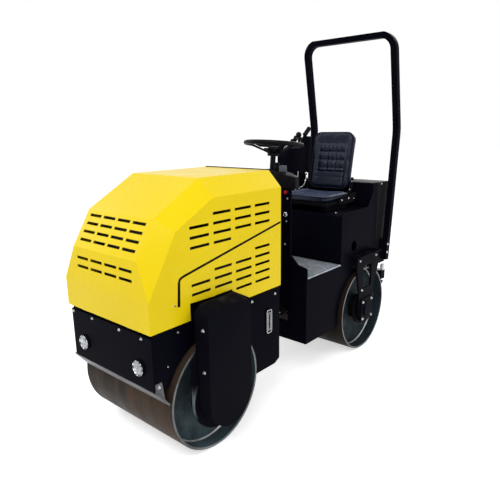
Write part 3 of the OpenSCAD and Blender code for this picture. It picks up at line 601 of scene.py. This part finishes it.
def pad(name, size, corner, edge, shape, matrix, replaced):
    """Seat pad: swollen slab whose upper side then gets its sewn form from shape(x, y)."""
    bm = rounded_slab(size, corner, edge)
    mesh = bpy.data.meshes.new(name)
    bm.to_mesh(mesh)
    bm.free()
    obj = new_object(name, mesh)
    swell(obj, voxel=0.006, pressure=3.5, cap=0.006)
    half_z = size[2] / 2
    for v in obj.data.vertices:
        weight = min(1.0, max(0.0, (v.co.z + 0.25 * half_z) / half_z))
        v.co.z += weight * shape(v.co.x, v.co.y)
    obj.data.transform(matrix)
    subdivide = obj.modifiers.new("subdivide", "SUBSURF")
    subdivide.levels = subdivide.render_levels = 1
    bpy.context.view_layer.objects.active = obj
    bpy.ops.object.modifier_apply(modifier="subdivide")
    obj.data.materials.append(vinyl)
    obj.data.shade_smooth()
    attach(obj, REAR)
    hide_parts(replaced)
    return obj


def cushion_shape(x, y):
    """Cushion: rolled front, raised sides, three sewn rows of tufts in the middle."""
    half_x, half_y = cushion_size.x / 2, cushion_size.y / 2
    panel = 0.62 * half_x
    columns = [-panel, -panel / 3, panel / 3, panel]
    rows = [-0.62 * half_y, -0.2 * half_y, 0.22 * half_y, 0.64 * half_y]
    seam, past = 0.005, 0.01  # depth and width of the seam round the panel, and how far it runs past a corner
    h = -0.006 * math.exp(-((x / (0.5 * half_x)) ** 4))
    if abs(x) < panel and rows[0] < y < rows[-1]:
        h += 0.009 * tuft(x, columns) * tuft(y, rows) - 0.004
    for c in (columns[0], columns[-1]):
        if rows[0] - past < y < rows[-1] + past:
            h -= seam * channel(x - c, seam)
    for r in (rows[0], rows[-1]):
        if abs(x) < panel + past:
            h -= seam * channel(y - r, seam)
    return h - 0.006 * max(0.0, -y / half_y) ** 3


def back_shape(x, y):
    """Backrest: bolsters, a plain head band, three rows of tufts, a thin row and a lumbar band."""
    half_x, half_y = back_size.x / 2, back_size.y / 2
    up = y + half_y
    width = half_x * (0.68 + 0.05 * up / (2 * half_y))  # where the bolsters start
    bolster = 1 / (1 + math.exp(-(abs(x) - width) / 0.006))
    h = -0.016 * (1 - bolster)
    h -= 0.004 * channel(abs(x) - width, 0.006)
    columns = [-0.099, -0.033, 0.033, 0.099]
    # heights above the back's foot: sewn rows, seam over the lumbar band, foot of the head band
    rows = [0.122, 0.143, 0.199, 0.254, 0.311]
    lumbar, head = 0.086, 0.325
    if abs(x) < columns[-1] and rows[0] < up < rows[-1]:
        h += 0.015 * tuft(x, columns) * tuft(up, rows) - 0.005
    for r in (rows[0] - 0.002, rows[-1] + 0.002, lumbar):
        if abs(x) < columns[-1] + 0.008:
            h -= 0.004 * channel(up - r, 0.004)
    top_band = max(0.0, (up - head) / 0.04)
    return h + 0.010 * min(1.0, top_band) * (1 - bolster)


cushion_size = high("seat_cushion") - low("seat_cushion")
cushion_matrix = Matrix.Translation(middle("seat_cushion") + Vector((0, 0, -0.001)))
slab = cushion_size - Vector((0.010, 0.010, 0.006))
pad("seat_cushion_pad", slab, 0.045, 0.016, cushion_shape, cushion_matrix, "seat_cushion")

back_low, back_high = low("seat_back"), high("seat_back")
back_lean = math.radians(11)
back_t, back_h = 0.060, 0.394
back_size = Vector((back_high.x - back_low.x, back_h, back_t))
back_foot = Vector((0, back_low.y, back_low.z + back_t * math.sin(back_lean)))
# local x across, local y up the back, local z forwards
back_matrix = (
    Matrix.Translation(back_foot)
    @ Matrix.Rotation(-back_lean, 4, "X")
    @ Matrix(((1, 0, 0, 0), (0, 0, -1, back_t / 2), (0, 1, 0, back_h / 2), (0, 0, 0, 1)))
)
slab = back_size - Vector((0.008, 0.008, 0.008))
pad("seat_back_pad", slab, 0.055, 0.018, back_shape, back_matrix, "seat_back")


def loop_path(half_x, half_y, corner, z, steps=8):
    """Rounded rectangle in the local xy plane."""
    path = []
    for k, (sx, sy) in enumerate(((1, 1), (-1, 1), (-1, -1), (1, -1))):
        for i in range(steps + 1):
            a = math.pi / 2 * (k + i / steps)
            x, y = sx * (half_x - corner) + corner * math.cos(a), sy * (half_y - corner) + corner * math.sin(a)
            path.append(Vector((x, y, z)))
    return path


# piping round the upper edge of each pad: (name, size, matrix, inset, corner radius)
for name, size, matrix, inset, corner in (
    ("seat_cushion_piping", cushion_size, cushion_matrix, 0.010, 0.040),
    ("seat_back_piping", back_size, back_matrix, 0.011, 0.048),
):
    path = loop_path(size.x / 2 - inset, size.y / 2 - inset, corner, size.z / 2 - inset)
    tube(name, [matrix @ p for p in path], 0.0042, REAR, piping_mat, 8, True)


# ---------------------------------------------------------------- small parts


def at_front(x, y, z):
    """Place in metres from millimetres: x, behind the front axle, above the ground."""
    return Vector((x * MM, front_axle.y + y * MM, z * MM))


def at_rear(x, y, z):
    """Place in metres from millimetres: x, behind the rear axle, above the ground."""
    return Vector((x * MM, rear_axle.y + y * MM, z * MM))


def side_bolts(place, half, rows):
    """Bolts on both side faces, at x = half and x = -half. Each row is (y, z, head size) in mm."""
    return both([(Vector((half, place(0, y, 0).y, z * MM)), OUT, size) for y, z, size in rows])


# bolts of the front frame and the guards
guard_mid = (high("front_yokes").x + guard_half) / 2
rows = [(Vector((x * MM, frame_front, 0.628)), AHEAD, 9) for x in (-283, -126, 81, 233)]
frame_bolts = [(-201, 627, 7), (-92, 621, 9), (281, 628, 9), (466, 622, 9), (-265, 493, 5)]
rows += side_bolts(at_front, frame_half, frame_bolts)
rows += both([(Vector((guard_mid, low("motor_guards").y, z * MM)), AHEAD, 12) for z in (634, 440)])
bolts("front_frame_bolts", FRONT, rows, zinc)

# bolts of the console, the deck, the seat, the motors, the yokes, the roll bar and the body
bulkhead_y = at_rear(0, -643, 0).y
deck_z = 0.942
motor_x = high("rear_motors").x - 0.012
yoke_plate_x = motor_x - 0.010
motor_c = Vector((motor_x, rear_axle.y, rear_axle.z))
motor_bolt = 58 * MM  # half the side of the square of bolts
panel_bolts = ((161, 1075, 9), (155, 945, 8), (146, 811, 9))
rows = both([(Vector((x * MM, bulkhead_y, z * MM)), AHEAD, size) for x, z, size in panel_bolts])
rows += both([(Vector((x * MM, at_rear(0, y, 0).y, deck_z)), UP, 10) for x, y in ((211, 127), (220, -214))])
rows += side_bolts(at_rear, high("seat_frame").x, [(-122, 1010, 9), (-35, 1013, 9), (30, 1006, 7)])
rows += both([(motor_c + motor_bolt * Vector((0, y, z)), OUT, 13) for y in (-1, 1) for z in (-1, 1)])
rows += side_bolts(at_rear, yoke_plate_x, [(-63, 421, 11), (-100, 626, 10), (118, 626, 10)])
rows += side_bolts(at_rear, high("rops").x, [(272, 615, 12), (276, 672, 12)])
rows += side_bolts(at_rear, body_half, [(236, 1090, 9)])
bolts("rear_body_bolts", REAR, rows, zinc)

# welds between the drums' shells and their sunk webs
web_depth = 0.070
web_x = drum_half - web_depth
weld = [
    (shell_r - 0.0003, 0.006), (shell_r - 0.0025, 0.0035), (shell_r - 0.005, 0.0012),
    (shell_r - 0.0065, 0), (shell_r - 0.0003, 0),
]
for name, axle in (("front", front_axle), ("rear", rear_axle)):
    for s, tag in SIDES:
        m = frame_at(Vector((s * web_x, axle.y, axle.z)), Vector((s, 0, 0)))
        lathe_piece(f"{name}_{tag}_web_weld", weld, m, f"{name}_drum", bare, 96)

# headlights: facetted bowl under a domed glass, (part of the lamp's radius, height)
lamp_low, lamp_high = low("headlights"), high("headlights")
lamp_r = (lamp_high.z - lamp_low.z) / 2
bowl = [
    (0, -0.003), (0.30, -0.0028), (0.32, -0.0042), (0.82, -0.002), (0.86, 0.0004), (0.96, 0.0007), (0.985, -0.0015),
]
glass = [(0, 0.0012), (0.4, 0.0009), (0.7, 0.0002), (0.85, -0.0008), (0.85, -0.0016), (0, -0.0006)]
for s, tag in SIDES:
    m = frame_at(Vector((s * (lamp_high.x - lamp_r), lamp_low.y, (lamp_low.z + lamp_high.z) / 2)), AHEAD)
    lathe_piece(f"headlight_bowl_{tag}", [(r * lamp_r, h) for r, h in bowl], m, FRONT, reflector, 36)
    lathe_piece(f"headlight_glass_{tag}", [(r * lamp_r, h) for r, h in glass], m, FRONT, lens_glass, 36)

# oil gauge: bright edges round its plate and its slot, the dark slot and its ticks
g_low, g_high = low("oil_gauge"), high("oil_gauge")
g_mid = (g_low + g_high) / 2
half_y, half_z = (g_high.y - g_low.y) / 2 - 0.003, (g_high.z - g_low.z) / 2 - 0.003
for name, across, along, corner, sunk, radius in (
    ("oil_gauge_edge", half_y, half_z, 0.008, 0.0008, 0.0018),
    ("oil_gauge_slot_edge", 0.0095, half_z - 0.014, 0.005, 0.0004, 0.0012),
):
    loop = loop_path(across, along, corner, 0, 4)
    tube(name, [(g_high.x - sunk, g_mid.y + p.x, g_mid.z + p.y) for p in loop], radius, FRONT, chrome, 8, True)
slot = Matrix.Translation((g_high.x - 0.0015, g_mid.y, g_mid.z))
box_piece("oil_gauge_glass", [((0.002, 0.014, 2 * half_z - 0.036), slot, 0.0006)], FRONT, groove_black)
ticks = []
for i in range(7):
    tick = 0.0085 if i % 3 == 0 else 0.005
    place = (g_high.x - 0.0002, g_mid.y - 0.006 + tick / 2, g_mid.z + (i - 3) * (half_z - 0.024) / 3)
    ticks.append(((0.0008, tick, 0.0022), Matrix.Translation(place), 0.0002))
box_piece("oil_gauge_ticks", ticks, FRONT, pale_plastic)


def strip(name, points, x0, x1, widths, body, material):
    """Flat bar that follows points (y, z) on a side face, between two planes, with a width at each point."""
    bm = bmesh.new()
    rings = []
    for i, p in enumerate(points):
        before, after = points[max(i - 1, 0)], points[min(i + 1, len(points) - 1)]
        along = Vector((after[0] - before[0], after[1] - before[1])).normalized()
        n = Vector((-along.y, along.x)) * widths[i] / 2
        corners = ((x0, -1), (x1, -1), (x1, 1), (x0, 1))
        rings.append([bm.verts.new((x, p[0] + side * n.x, p[1] + side * n.y)) for x, side in corners])
    join_loops(bm, rings)
    return from_bmesh(name, bm, body, material, 40)


# dark strip laid in the groove on each side of the bonnet, and the rivet at its foot
hood_top = high("hood").z
start = Vector((0, high("hood").y - 0.003, hood_top - 0.257))
bend = Vector((0, front_axle.y - 0.190, hood_top - 0.393))
end = Vector((0, front_axle.y - 0.197, hood_top - 0.513))
before_bend, after_bend = start.lerp(bend, 0.96), bend.lerp(end, 0.16)
line = [start, before_bend]
line += [before_bend * (1 - t) ** 2 + bend * 2 * t * (1 - t) + after_bend * t * t for t in (0.25, 0.5, 0.75)]
line += [after_bend, end]
line = [(p.y, p.z) for p in line]
strip_widths = [0.0105] * 5 + [0.013, 0.015]
for s, tag in SIDES:
    x0, x1 = s * (hood_half - 0.0025), s * (hood_half + 0.0006)
    strip(f"hood_strip_{tag}", line, x0, x1, strip_widths, "hood", groove_black)
    bm = bmesh.new()
    add_bolt(bm, Vector((s * hood_half, front_axle.y - 0.217, 0.751)), Vector((s, 0, 0)), 0.007)
    from_bmesh(f"hood_rivet_{tag}", bm, "hood", bare, 40)

# raised tread on the floor plate: lozenges turned one way and the other in turn
plate_low, plate_high = low("floor_plate"), high("floor_plate")
pitch = 0.026
edge = 0.020
lozenge = [(0.011, 0), (0, 0.0032), (-0.011, 0), (0, -0.0032)]
bm = bmesh.new()
for i in range(int((plate_high.x - plate_low.x - edge) / pitch)):
    for j in range(int((plate_high.y - plate_low.y - edge) / pitch)):
        place = (plate_low.x + 0.022 + i * pitch, plate_low.y + edge + j * pitch, plate_high.z)
        turn = math.pi / 4 if (i + j) % 2 else -math.pi / 4
        m = Matrix.Translation(place) @ Matrix.Rotation(turn, 4, "Z")
        base = [bm.verts.new(m @ Vector((a, b, -0.0002))) for a, b in lozenge]
        crest = [bm.verts.new(m @ Vector((0.6 * a, 0.6 * b, 0.0013))) for a, b in lozenge]
        bm.faces.new(crest)
        join_loops(bm, [base, crest], cap=False)
from_bmesh("floor_plate_tread", bm, REAR, tread)

# rolled edge of the floor plate's two sides
for s, tag in SIDES:
    x, z = s * (plate_high.x - 0.0035), plate_high.z - 0.0005
    ends = [(x, plate_low.y + 0.004, z), (x, plate_high.y - 0.004, z)]
    tube(f"floor_plate_edge_{tag}", ends, 0.0022, REAR, tread, 8)

# dash: full depth round the column, shallow at its ends; (part of its half width, drop, part of its depth)
dash_low, dash_high = low("dash"), high("dash")
end_drop = 0.032
bm = bmesh.new()
stations = []
for x, drop, depth in ((-1, 1, 0.36), (-0.56, 0.54, 1), (-0.19, 0, 1), (0.19, 0, 1), (0.56, 0.54, 1), (1, 1, 0.36)):
    back = dash_low.y + depth * (dash_high.y - dash_low.y)
    top = dash_high.z - drop * end_drop
    corners = ((dash_low.y, dash_low.z), (dash_low.y, top), (back, top), (back, dash_low.z))
    stations.append([bm.verts.new((x * dash_high.x, y, z)) for y, z in corners])
join_loops(bm, stations)
bmesh.ops.recalc_face_normals(bm, faces=bm.faces)
folds = [e for e in bm.edges if e.calc_face_angle(0) > 0.4]
bmesh.ops.bevel(bm, geom=folds, offset=0.004, segments=3, profile=0.5, affect="EDGES")
dash_skin = from_bmesh("dash_skin", bm, REAR, moulded, 35)
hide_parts("dash")

# relay box, switches and gauges of the dash
relay = ((0.036, 0.032, 0.036), Matrix.Translation(at_rear(91, -592, 1235)), 0.004)
box_piece("dash_relay", [relay], REAR, dull_plastic)
block = [
    ((0.030, 0.030, 0.026), Matrix.Translation(at_rear(50, -590, 1238)), 0.005),
    ((0.018, 0.020, 0.030), Matrix.Translation(at_rear(44, -590, 1254)), 0.004),
    ((0.012, 0.012, 0.016), Matrix.Translation(at_rear(58, -588, 1254)), 0.003),
]
box_piece("dash_switch_block", block, REAR, moulded)
for i, (x, z, r) in enumerate((
    (-0.080, 1.172, 0.027), (0.080, 1.172, 0.027), (-0.030, 1.160, 0.014), (0.030, 1.160, 0.014),
)):
    m = frame_at(Vector((x, dash_high.y - 0.001, z)), Vector((0, 1, 0)))
    rim = [(r - 0.003, 0), (r, 0), (r, 0.004), (r - 0.001, 0.0055), (r - 0.003, 0.0055), (r - 0.0035, 0.002)]
    lathe_piece(f"dash_gauge_rim_{i}", rim, m, REAR, chrome, 32)
    face = [(0, 0.0022), (r - 0.003, 0.0022), (r - 0.003, 0.0005), (0, 0.0005)]
    lathe_piece(f"dash_gauge_face_{i}", face, m, REAR, pale_plastic if i < 2 else red_plastic, 32)
    if i < 2:
        needle = m @ Matrix.Translation((0, 0, 0.0032)) @ Matrix.Rotation(0.8 - 1.1 * i, 4, "Z")
        needle = needle @ Matrix.Translation((0, r * 0.25, 0))
        box_piece(f"dash_gauge_needle_{i}", [((0.0014, r * 0.7, 0.0012), needle, 0.0003)], REAR, red_plastic)

# stop button: black collar with a red mushroom head
button_low, button_high = low("switches"), high("switches")
button = Vector(((button_low.x + button_high.x) / 2, button_high.y, (button_low.z + button_high.z) / 2))
reach = button_high.y - button_low.y
m = frame_at(button, AHEAD)
profile = [(0, 0), (0.0125, 0), (0.0125, 0.005), (0.0105, 0.0075), (0.007, 0.0075), (0.007, 0.010), (0, 0.010)]
collar = lathe_piece("stop_button_collar", profile, m, REAR, moulded, 36)
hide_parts("switches")
profile = [
    (0, 0.009), (0.0055, 0.009), (0.0055, reach - 0.009), (0.0092, reach - 0.008), (0.0100, reach - 0.0055),
    (0.0092, reach - 0.0025), (0.0055, reach - 0.0006), (0, reach),
]
head = lathe_piece("stop_button_head", profile, m, REAR, red_plastic, 36, 50)

# key switch and round cover on the front of the console's panel
r = 0.013
profile = [
    (0, -0.0005), (r, -0.0005), (r, 0.005), (0.8 * r, 0.007), (0.55 * r, 0.007), (0.55 * r, 0.014),
    (0.4 * r, 0.015), (0, 0.015),
]
for i, x in enumerate((0.150, -0.150)):
    lathe_piece(f"panel_switch_{i}", profile, frame_at(Vector((x, bulkhead_y, 0.985)), AHEAD), REAR, chrome, 24)

# rubber boots of the levers on the side console: (part of the boot's radius, height)
side_low, side_high = low("side_console"), high("side_console")
lever_x = (side_low.x + side_high.x) / 2
boot = [
    (0, 0), (1, 0), (1, 0.003), (0.8, 0.006), (0.86, 0.009), (0.62, 0.012), (0.68, 0.015), (0.44, 0.019),
    (0.40, 0.024), (0, 0.024),
]
for i, (y, r) in enumerate(((60, 0.024), (-16, 0.019), (-60, 0.017))):
    m = frame_at(Vector((lever_x, at_rear(0, y, 0).y, side_high.z - 0.0005)), UP)
    lathe_piece(f"lever_boot_{i}", [(r * part, h) for part, h in boot], m, REAR, rubber, 28)

# small levers (x, y, top, grip radius) beside the main one, with grips drawn in parts of their radius
ball = [(0, -1), (0.55, -0.85), (1, -0.2), (0.96, 0.3), (0.6, 0.8), (0, 1)]
small_levers = ((-250, 4, 1399, 16), (-268, 34, 1410, 15), (-248, 56, 1400, 16), (-268, 90, 1402, 15))
for i, (x, y, top, r) in enumerate(small_levers):
    foot = at_rear(x, y - 6, side_high.z / MM - 2)
    tip = at_rear(x, y, top - r)
    tube(f"small_lever_{i}", [foot, tip], 0.0042, REAR, fork_black, 10)
    grip = [(a * r * MM, b * r * MM) for a, b in ball]
    lathe_piece(f"small_lever_grip_{i}", grip, Matrix.Translation(tip), REAR, moulded, 20, 60)


def lever(name, points, radius, material, steps=6, sides=10):
    """Bent rod of the rear module through points given as for at_rear."""
    return tube(name, smooth_path([at_rear(*p) for p in points], steps), radius, REAR, material, sides)


# hand lever that leans back, its grip, and two bright levers beside the seat
leaning = [(-262, 84, 1326), (-262, 102, 1370), (-262, 140, 1415), (-262, 186, 1452)]
lever("hand_lever", leaning, 0.006, fork_black, 6, 12)
tube("hand_lever_grip", [at_rear(-262, 136, 1411), at_rear(-262, 192, 1457)], 0.0165, REAR, moulded, 16)
parking = [(-206, -10, 944), (-208, -12, 1016), (-211, 8, 1048), (-213, 54, 1060), (-215, 85, 1097), (-215, 88, 1136)]
lever("parking_lever", parking, 0.0042, chrome, 8)
knob = [(0, -0.012), (0.007, -0.010), (0.011, -0.003), (0.011, 0.004), (0.007, 0.010), (0, 0.012)]
lathe_piece("parking_lever_knob", knob, Matrix.Translation(at_rear(-215, 88, 1144)), REAR, chrome, 24, 60)
foot = [(0, 0), (0.016, 0), (0.016, 0.004), (0.009, 0.010), (0.006, 0.022), (0, 0.022)]
lathe_piece("parking_lever_foot", foot, frame_at(at_rear(-206, -10, 941.5), UP), REAR, fork_black, 24)
lever("speed_lever", [(-214, -60, 944), (-215, -40, 1040), (-215, -14, 1120), (-215, -9, 1166)], 0.0036, chrome)

# folded plate on the console's back, up to the roll bar's post
wing = ((94, 1146), (168, 1146), (176, 1396), (150, 1404), (104, 1332), (94, 1322))
bm = bmesh.new()
faces = [
    [bm.verts.new(at_rear(x / MM, y, z)) for y, z in wing] for x in (side_low.x + 0.006, side_high.x - 0.001)
]
join_loops(bm, faces)
bmesh.ops.recalc_face_normals(bm, faces=bm.faces)
bmesh.ops.bevel(bm, geom=bm.edges[:], offset=0.004, segments=3, profile=0.5, affect="EDGES")
from_bmesh("console_wing", bm, REAR, black, 35)

# seat frame: rails, stays, side brackets and the arms that carry the back
rail_low, rail_top = low("seat_frame").z, low("seat_pan").z
bracket = [(-150, 984), (34, 984), (62, 1016), (66, 1040), (44, 1046), (-30, 1030), (-150, 1018)]
arm = [(22, 1016), (62, 1016), (74, 1060), (90, 1134), (66, 1140), (42, 1072), (22, 1050)]
bm = bmesh.new()
for s, _ in SIDES:
    for size, x, y, z, bevel in (
        ((0.040, 0.264, rail_top - rail_low), 140, -98, (rail_top + rail_low) / 2 / MM, 0.003),
        ((0.044, 0.104, 0.006), 182, -18, rail_top / MM - 3, 0.001),
        ((0.006, 0.190, 0.006), 200, -58, rail_top / MM - 3, 0.001),
    ):
        add_box(bm, size, Matrix.Translation(at_rear(s * x, y, z)), bevel)
    for plate, x0, x1 in ((bracket, 199.5, 205.5), (arm, 163, 169)):
        join_loops(bm, [[bm.verts.new(at_rear(s * x, y, z)) for y, z in plate] for x in (x0, x1)])
    add_box(bm, (0.038, 0.034, 0.006), Matrix.Translation(at_rear(s * 184, 45, 1030)), 0.002)
seat_bars = from_bmesh("seat_brackets", bm, REAR, fork_black, 30)
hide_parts("seat_frame")
bm = bmesh.new()
for s, _ in SIDES:
    for y, z in ((40, 1060), (64, 1112)):
        add_bolt(bm, at_rear(s * 169, y, z), Vector((s, 0, 0)), 0.009)
from_bmesh("seat_back_bolts", bm, REAR, zinc, 40)

# steering wheel: dished hub, centre cap, nut ring, finger grips and spokes
WHEEL = "steering_wheel"
rake = math.radians(6)
wheel_m = Matrix.Translation(at_rear(0, -559, 1371)) @ Matrix.Rotation(-rake, 4, "X")
dish = [
    (0.020, -0.066), (0.026, -0.066), (0.031, -0.058), (0.050, -0.040), (0.058, -0.030), (0.057, -0.026),
    (0.048, -0.030), (0.024, -0.040), (0.020, -0.044),
]
lathe_piece("steering_hub_dish", dish, wheel_m, WHEEL, moulded, 48)
cap = [
    (0, -0.030), (0.031, -0.030), (0.033, -0.026), (0.033, -0.020), (0.028, -0.0155), (0.012, -0.013), (0, -0.0125),
]
lathe_piece("steering_cap", cap, wheel_m, WHEEL, moulded, 40)
ring = [(0.0335, -0.0345), (0.0352, -0.0335), (0.0352, -0.0285), (0.0335, -0.0275)]
lathe_piece("steering_cap_ring", ring, wheel_m, WHEEL, chrome, 40)
rim_r = (high("steering_wheel").x - low("steering_wheel").x) / 2 - 0.013
grips = 48
bm = bmesh.new()
for i in range(grips):
    turn = Matrix.Rotation(2 * math.pi * (i + 0.5) / grips, 4, "Z")
    m = wheel_m @ turn @ Matrix.Translation((rim_r - 0.006, 0, -0.0095))
    bmesh.ops.create_icosphere(bm, subdivisions=1, radius=0.0042, matrix=m)
from_bmesh("steering_rim_grip", bm, WHEEL, moulded, 60)
inner, outer = Vector((0.034, 0, -0.0425)), Vector((rim_r - 0.014, 0, 0.0048))
along = outer - inner
spoke_m = Matrix.Translation((inner + outer) / 2) @ Matrix.Rotation(-math.atan2(along.z, along.x), 4, "Y")
for k, a in enumerate((90, 210, 330)):
    m = wheel_m @ Matrix.Rotation(math.radians(a), 4, "Z") @ spoke_m
    plates = [
        ((along.length, width, 0.003), m @ Matrix.Translation((0, 0, rise)), 0.0012)
        for width, rise in ((0.034, -0.0035), (0.012, 0.0))
    ]
    box_piece(f"steering_spoke_{k}", plates, WHEEL, fork_black)
    rib = [((along.length * 0.62, 0.007, 0.002), m @ Matrix.Translation((0.008, 0, 0.002)), 0.0008)]
    box_piece(f"steering_spoke_rib_{k}", rib, WHEEL, chrome)

# ribs round the water tank's cap, and the boss on top of it
cap_c, cap_top = middle("tank_cap"), high("tank_cap").z
cap_r = (high("tank_cap").x - low("tank_cap").x) / 2 - 0.0003
ribs = []
rib_count = 24
for i in range(rib_count):
    a = 2 * math.pi * i / rib_count
    place = (cap_c.x + cap_r * math.cos(a), cap_c.y + cap_r * math.sin(a), cap_top - 0.009)
    ribs.append(((0.0034, 0.0042, 0.0155), Matrix.Translation(place) @ Matrix.Rotation(a, 4, "Z"), 0.001))
box_piece("tank_cap_ribs", ribs, REAR, moulded)
boss = [(0, -0.0005), (0.022, -0.0005), (0.021, 0.003), (0.010, 0.0042), (0, 0.0042)]
lathe_piece("tank_cap_boss", boss, Matrix.Translation((cap_c.x, cap_c.y, cap_top)), REAR, moulded, 32)

# white markers and the tie-down holes' rings at the ends of the rear bumper
bumper_high = high("rear_bumper")
bumper_top = 0.462
tie_down_x = 0.262
ring = [(0.0142, -0.0004), (0.024, -0.0004), (0.0245, 0.0012), (0.023, 0.0026), (0.0155, 0.0026), (0.0142, 0.0012)]
for s, tag in SIDES:
    place = Vector((s * (bumper_high.x - 0.012), bumper_high.y - 0.018, bumper_top + 0.022))
    box_piece(f"bumper_marker_{tag}", [((0.022, 0.032, 0.046), Matrix.Translation(place), 0.003)], REAR, marker_white)
    m = Matrix.Translation((s * tie_down_x, at_rear(0, 329, 0).y, bumper_top))
    lathe_piece(f"tie_down_ring_{tag}", ring, m, REAR, zinc, 36)

# scraper bolts, back and front
blade = Vector((0, at_rear(0, 320, 0).y, low("rear_scraper").z))
bolts("rear_scraper_bolts", REAR, [(blade + x * MM * OUT, -UP, 11) for x in (-180, -60, 60, 180)], zinc)
bolts("front_scraper_bolts", FRONT, both([(at_front(304, -322, 424), OUT, 10)]), zinc)

# grease nipple on top of the pivot pin
pin_c = middle("pivot_pin")
nipple = [
    (0, -0.0005), (0.006, -0.0005), (0.006, 0.004), (0.003, 0.006), (0.0032, 0.010), (0.002, 0.0125), (0, 0.0125),
]
lathe_piece("pivot_nipple", nipple, Matrix.Translation((pin_c.x, pin_c.y, high("pivot_pin").z)), REAR, zinc, 18)


# ---------------------------------------------------------------- camera, light and backdrop

camera = bpy.data.cameras.new("camera")
camera.lens = 35.5
camera.sensor_width = 36
camera_object = new_object("camera", camera)
bpy.context.scene.camera = camera_object
# the camera's place and turn, fitted to the photo
EYE = Vector((1.7955, -2.1828, 1.4557))
YAW, PITCH, ROLL = (math.radians(a) for a in (40.71, 13.76, -0.69))
forward = Vector((-math.sin(YAW) * math.cos(PITCH), math.cos(YAW) * math.cos(PITCH), -math.sin(PITCH)))
right = forward.cross(UP).normalized()
upward = right.cross(forward)
side = math.cos(ROLL) * right + math.sin(ROLL) * upward
top = -math.sin(ROLL) * right + math.cos(ROLL) * upward
camera_object.matrix_world = Matrix((
    (side.x, top.x, -forward.x, EYE.x),
    (side.y, top.y, -forward.y, EYE.y),
    (side.z, top.z, -forward.z, EYE.z),
    (0, 0, 0, 1),
))


def seen_only(tree):
    """1 where a ray comes from the camera, a mirror or a window, and 0 for light on the object."""
    path = tree.nodes.new("ShaderNodeLightPath")
    seen = path.outputs["Is Camera Ray"]
    for ray in ("Is Glossy Ray", "Is Transmission Ray"):
        either = tree.nodes.new("ShaderNodeMath")
        either.operation = "MAXIMUM"
        tree.links.new(seen, either.inputs[0])
        tree.links.new(path.outputs[ray], either.inputs[1])
        seen = either.outputs[0]
    return seen


world = bpy.data.worlds.new("studio")
bpy.context.scene.world = world
world.use_nodes = True
tree = world.node_tree
background = tree.nodes["Background"]
background.inputs["Color"].default_value = (1.0, 1.0, 1.0, 1.0)
strength = tree.nodes.new("ShaderNodeMapRange")
strength.inputs["To Min"].default_value = 0.55
strength.inputs["To Max"].default_value = 1.0
tree.links.new(seen_only(tree), strength.inputs[0])
tree.links.new(strength.outputs[0], background.inputs["Strength"])

FLOOR_HALF = 30.0
floor_mesh = bpy.data.meshes.new("floor")
floor_corners = [(sx * FLOOR_HALF, sy * FLOOR_HALF, -0.001) for sx, sy in ((-1, -1), (1, -1), (1, 1), (-1, 1))]
floor_mesh.from_pydata(floor_corners, [], [(0, 1, 2, 3)])
floor = new_object("floor", floor_mesh)
floor_mat = bpy.data.materials.new("pale_floor")
floor_mat.use_nodes = True
tree = floor_mat.node_tree
floor_bsdf = tree.nodes["Principled BSDF"]
floor_bsdf.inputs["Base Color"].default_value = (0.88, 0.88, 0.88, 1)
floor_bsdf.inputs["Roughness"].default_value = 0.9
floor_bsdf.inputs["Specular IOR Level"].default_value = 0.1
floor_bsdf.inputs["Emission Color"].default_value = (1, 1, 1, 1)
glow = tree.nodes.new("ShaderNodeMath")
glow.operation = "MULTIPLY"
glow.inputs[1].default_value = 0.58
tree.links.new(seen_only(tree), glow.inputs[0])
tree.links.new(glow.outputs[0], floor_bsdf.inputs["Emission Strength"])
floor_mesh.materials.append(floor_mat)


def area_light(name, place, target, size, power):
    light = bpy.data.lights.new(name, "AREA")
    light.shape = "RECTANGLE"
    light.size, light.size_y = size
    light.energy = power
    obj = new_object(name, light)
    obj.location = place
    obj.rotation_euler = (Vector(target) - Vector(place)).to_track_quat("-Z", "Y").to_euler()


# name, place, target, size and power
area_light("key", (1.2, -3.2, 4.2), (0, -0.2, 0.7), (3.0, 2.2), 105)
area_light("fill", (4.2, 1.2, 2.6), (0, 0.1, 0.7), (2.4, 2.6), 48)
area_light("left_fill", (-4.0, -1.6, 2.8), (0, 0, 0.8), (2.4, 2.6), 45)
area_light("rear", (-0.6, 4.2, 3.4), (0, 0.2, 0.9), (3.0, 2.0), 55)

bpy.context.scene.view_settings.view_transform = "Standard"
